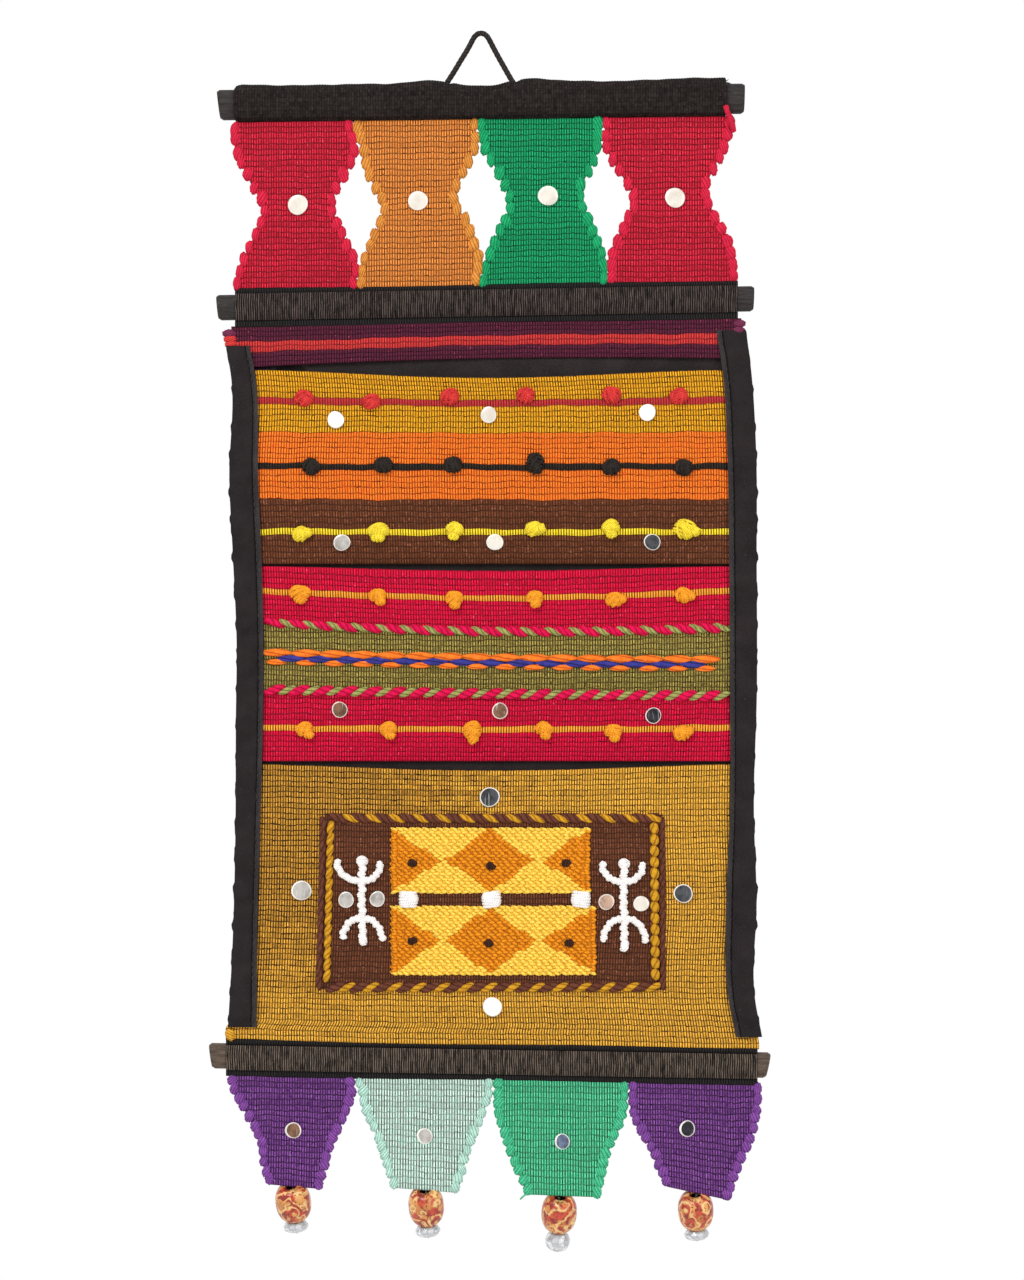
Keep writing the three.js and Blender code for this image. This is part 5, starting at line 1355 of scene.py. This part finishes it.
def white_pad(mesh, k, x):
    y, z = on_pocket("lower", x, PAD_Z) - .6, PAD_Z
    ball(mesh, (x, y - .6, z), (5.9, 2.8, 5.0), WHITE_YARN, sides=20, lines=14, groove=.1, turns=3.2, lean=.5,
         square=.8, seed=k)
    t = np.linspace(-1, 1, 9)
    for n in range(PAD_STRANDS):
        off = mix(-4.2, 4.2, n / (PAD_STRANDS - 1))
        out = .8 + 2.7 * (1 - t ** 4) * (1 - (off / 7.5) ** 2)
        path = np.stack([x + (5.6 - .05 * off ** 2) * t, y - out, z + off + .7 * t * math.sin(k * 2 + n)], -1)
        tube(mesh, path, 1.0, WHITE_YARN, sides=7)


def white_strand(mesh, points, thick, seed):
    """One line of a figure: plied yarn stitched down, its twist standing out as beads."""
    line = softened(resample(points, 4 + int(run_of(points)[-1] / .55)), 6)
    x, z = line.T
    y = on_pocket("lower", x, z) - thick * .75
    run = run_of(line)
    lumps = 1 + .09 * np.cos(run * 2 * PLY_TURN + seed) + .05 * np.cos(run * 1.3 + seed * 2)
    path = np.stack([x + .28 * np.cos(run * PLY_TURN + seed), y, z], -1)
    tube(mesh, path, thick * lumps, WHITE_YARN, sides=12, plies=2, lean=PLY_TURN, ply_deep=.22)


def figure(mesh, n, x, head, shoulder, hip, tail, hands, feet):
    spine = [(x + .2, head), (x, shoulder), (x - .3, (shoulder + hip) / 2), (x + .2, hip), (x + .4, tail)]
    white_strand(mesh, spine, BODY_THICK, n)
    for reach, z in hands:
        arm = [(0, shoulder - .6), (.48, shoulder + .6), (.84, mix(shoulder, z, .34)),
               (1, mix(shoulder, z, .7)), (1, z)]
        white_strand(mesh, [(x + reach * share, at) for share, at in arm], LIMB_THICK, n + reach)
    for reach, z in feet:
        leg = [(0, hip - .2), (.45, hip - .8), (.8, mix(hip, z, .34)), (1, mix(hip, z, .75)), (1.02, z)]
        white_strand(mesh, [(x + reach * share, at) for share, at in leg], LIMB_THICK, n + reach)
    y = on_pocket("lower", x, head - 1) - 1.2
    head_at, tail_at = (x, y, head - 1.6), (x + .4, y, tail + 2.6)
    ball(mesh, head_at, (3.9, 2.5, 3.3), WHITE_YARN, groove=.14, turns=2.5, lean=.7, seed=n)
    ball(mesh, tail_at, (2.7, 1.9, 3.4), WHITE_YARN, groove=.14, turns=2.5, lean=-.7, seed=n + 2)


def white_stitching():
    mesh = Mesh()
    for k, x in enumerate(PADS_X):
        white_pad(mesh, k, x)
    for n, facts in enumerate(FIGURES):
        figure(mesh, n, *facts)
    mesh.make("white_stitching", "amber_weave")


# mirrors
MIRROR_REFLECTIONS = {  # the painted reflection in each disc: its light and dark, and how much the disc shines
    "white": ((252, 250, 246), (240, 238, 232), .35), "cream": ((226, 220, 208), (206, 198, 186), .35),
    "grey": ((196, 192, 186), (150, 146, 140), .6), "slate": ((84, 86, 90), (48, 48, 52), .6),
    "brown": ((138, 104, 82), (96, 70, 56), .6), "tan": ((206, 172, 150), (150, 120, 104), .6),
    "blue": ((120, 134, 160), (66, 72, 92), .6), "black": ((62, 60, 66), (34, 34, 40), .6)}
MIRROR_OF = ("cream cream cream cream white cream white grey cream slate brown brown black "
             "slate grey slate white grey grey tan cream brown grey blue black").split()
MIRROR_HALF_THICK, SKEWED_FROM = .8, 21


def mirror_disc(mesh, k, look, rim_look):
    """A hand-cut disc, never quite round, with its clear face a little off the rim's middle."""
    low, high = box_of(f"mirror_{k + 1:02d}")
    at, r, t = (low + high) / 2, (high - low)[0] / 2, MIRROR_HALF_THICK
    turn = np.linspace(0, TAU, 41)
    cut = 1 + .025 * np.sin(2 * turn + k) + .015 * np.sin(3 * turn + 2 * k)
    tilt_x, tilt_z = (hashed(k, 1) - .5) * .05, (hashed(k, 2) - .5) * .05
    skew = .1 if k >= SKEWED_FROM else .02
    face = [(.001, -t), (r * .5, -t), (r * .84, -t), (r * .9, -t + .12)]
    rim = [(r, -t + .5), (r, t * .8), (r * .96, t)]
    rings = []
    for step, (radius, y) in enumerate(face + rim):
        narrow, shift = (1 - skew, skew * r * .5) if step < len(face) else (1, 0)
        tilt = radius * (tilt_x * np.cos(turn) + tilt_z * np.sin(turn))
        rings.append(at + np.stack([radius * narrow * np.cos(turn) * cut + shift, y + tilt,
                                    radius * np.sin(turn) * cut + shift * .5], -1))
    rings = np.stack(rings)
    mesh.grid(rings[:len(face)], np.zeros(2), look)
    mesh.grid(rings[len(face) - 1:], np.zeros(2), rim_look)


def mirror_discs():
    looks = {name: mirror("mirror_" + name, *tints) for name, tints in MIRROR_REFLECTIONS.items()}
    rim_look = mirror("mirror_rim", (250, 248, 242), (214, 210, 202), .2)
    mesh = Mesh()
    for k, name in enumerate(MIRROR_OF):
        mirror_disc(mesh, k, looks[name], rim_look)
    mesh.make("mirror_discs", "mirror_disc", [f"mirror_{k + 1:02d}" for k in range(len(MIRROR_OF))])


# floor
FLOOR_HALF, FLOOR_Z = 2500, -1500


def floor():
    x, y = np.meshgrid(*[np.linspace(-FLOOR_HALF, FLOOR_HALF, 21)] * 2)
    mesh = Mesh()
    mesh.grid(np.stack([x, y, 0 * x + FLOOR_Z], -1), np.zeros(2), floor_paint(), flip=True)
    mesh.put("floor")


# the whole part
hanging_loop()
for k, drop in enumerate(DROPS, 1):
    bead_drop(k, drop)
stain_rods()
top_sleeve()
warp_wrap("middle", WARP_DARK)
warp_wrap("bottom", WARP_BROWN)
for k, look in enumerate(UPPER_TABS):
    upper_tab(k, look)
for k, look in enumerate(LOWER_TABS):
    lower_tab(k, look)
striped_band()
lining()
for number, name in enumerate(POCKETS):
    pocket_cloth(number, name)
binding("left", left_out, left_in, TAPE_LEFT)
binding("right", right_out, right_in, TAPE_RIGHT)
for row, facts in enumerate(KNOT_ROWS):
    knot_row(row, *facts)
braids()
chain()
panel_border()
diamond_blocks()
white_stitching()
mirror_discs()
floor()
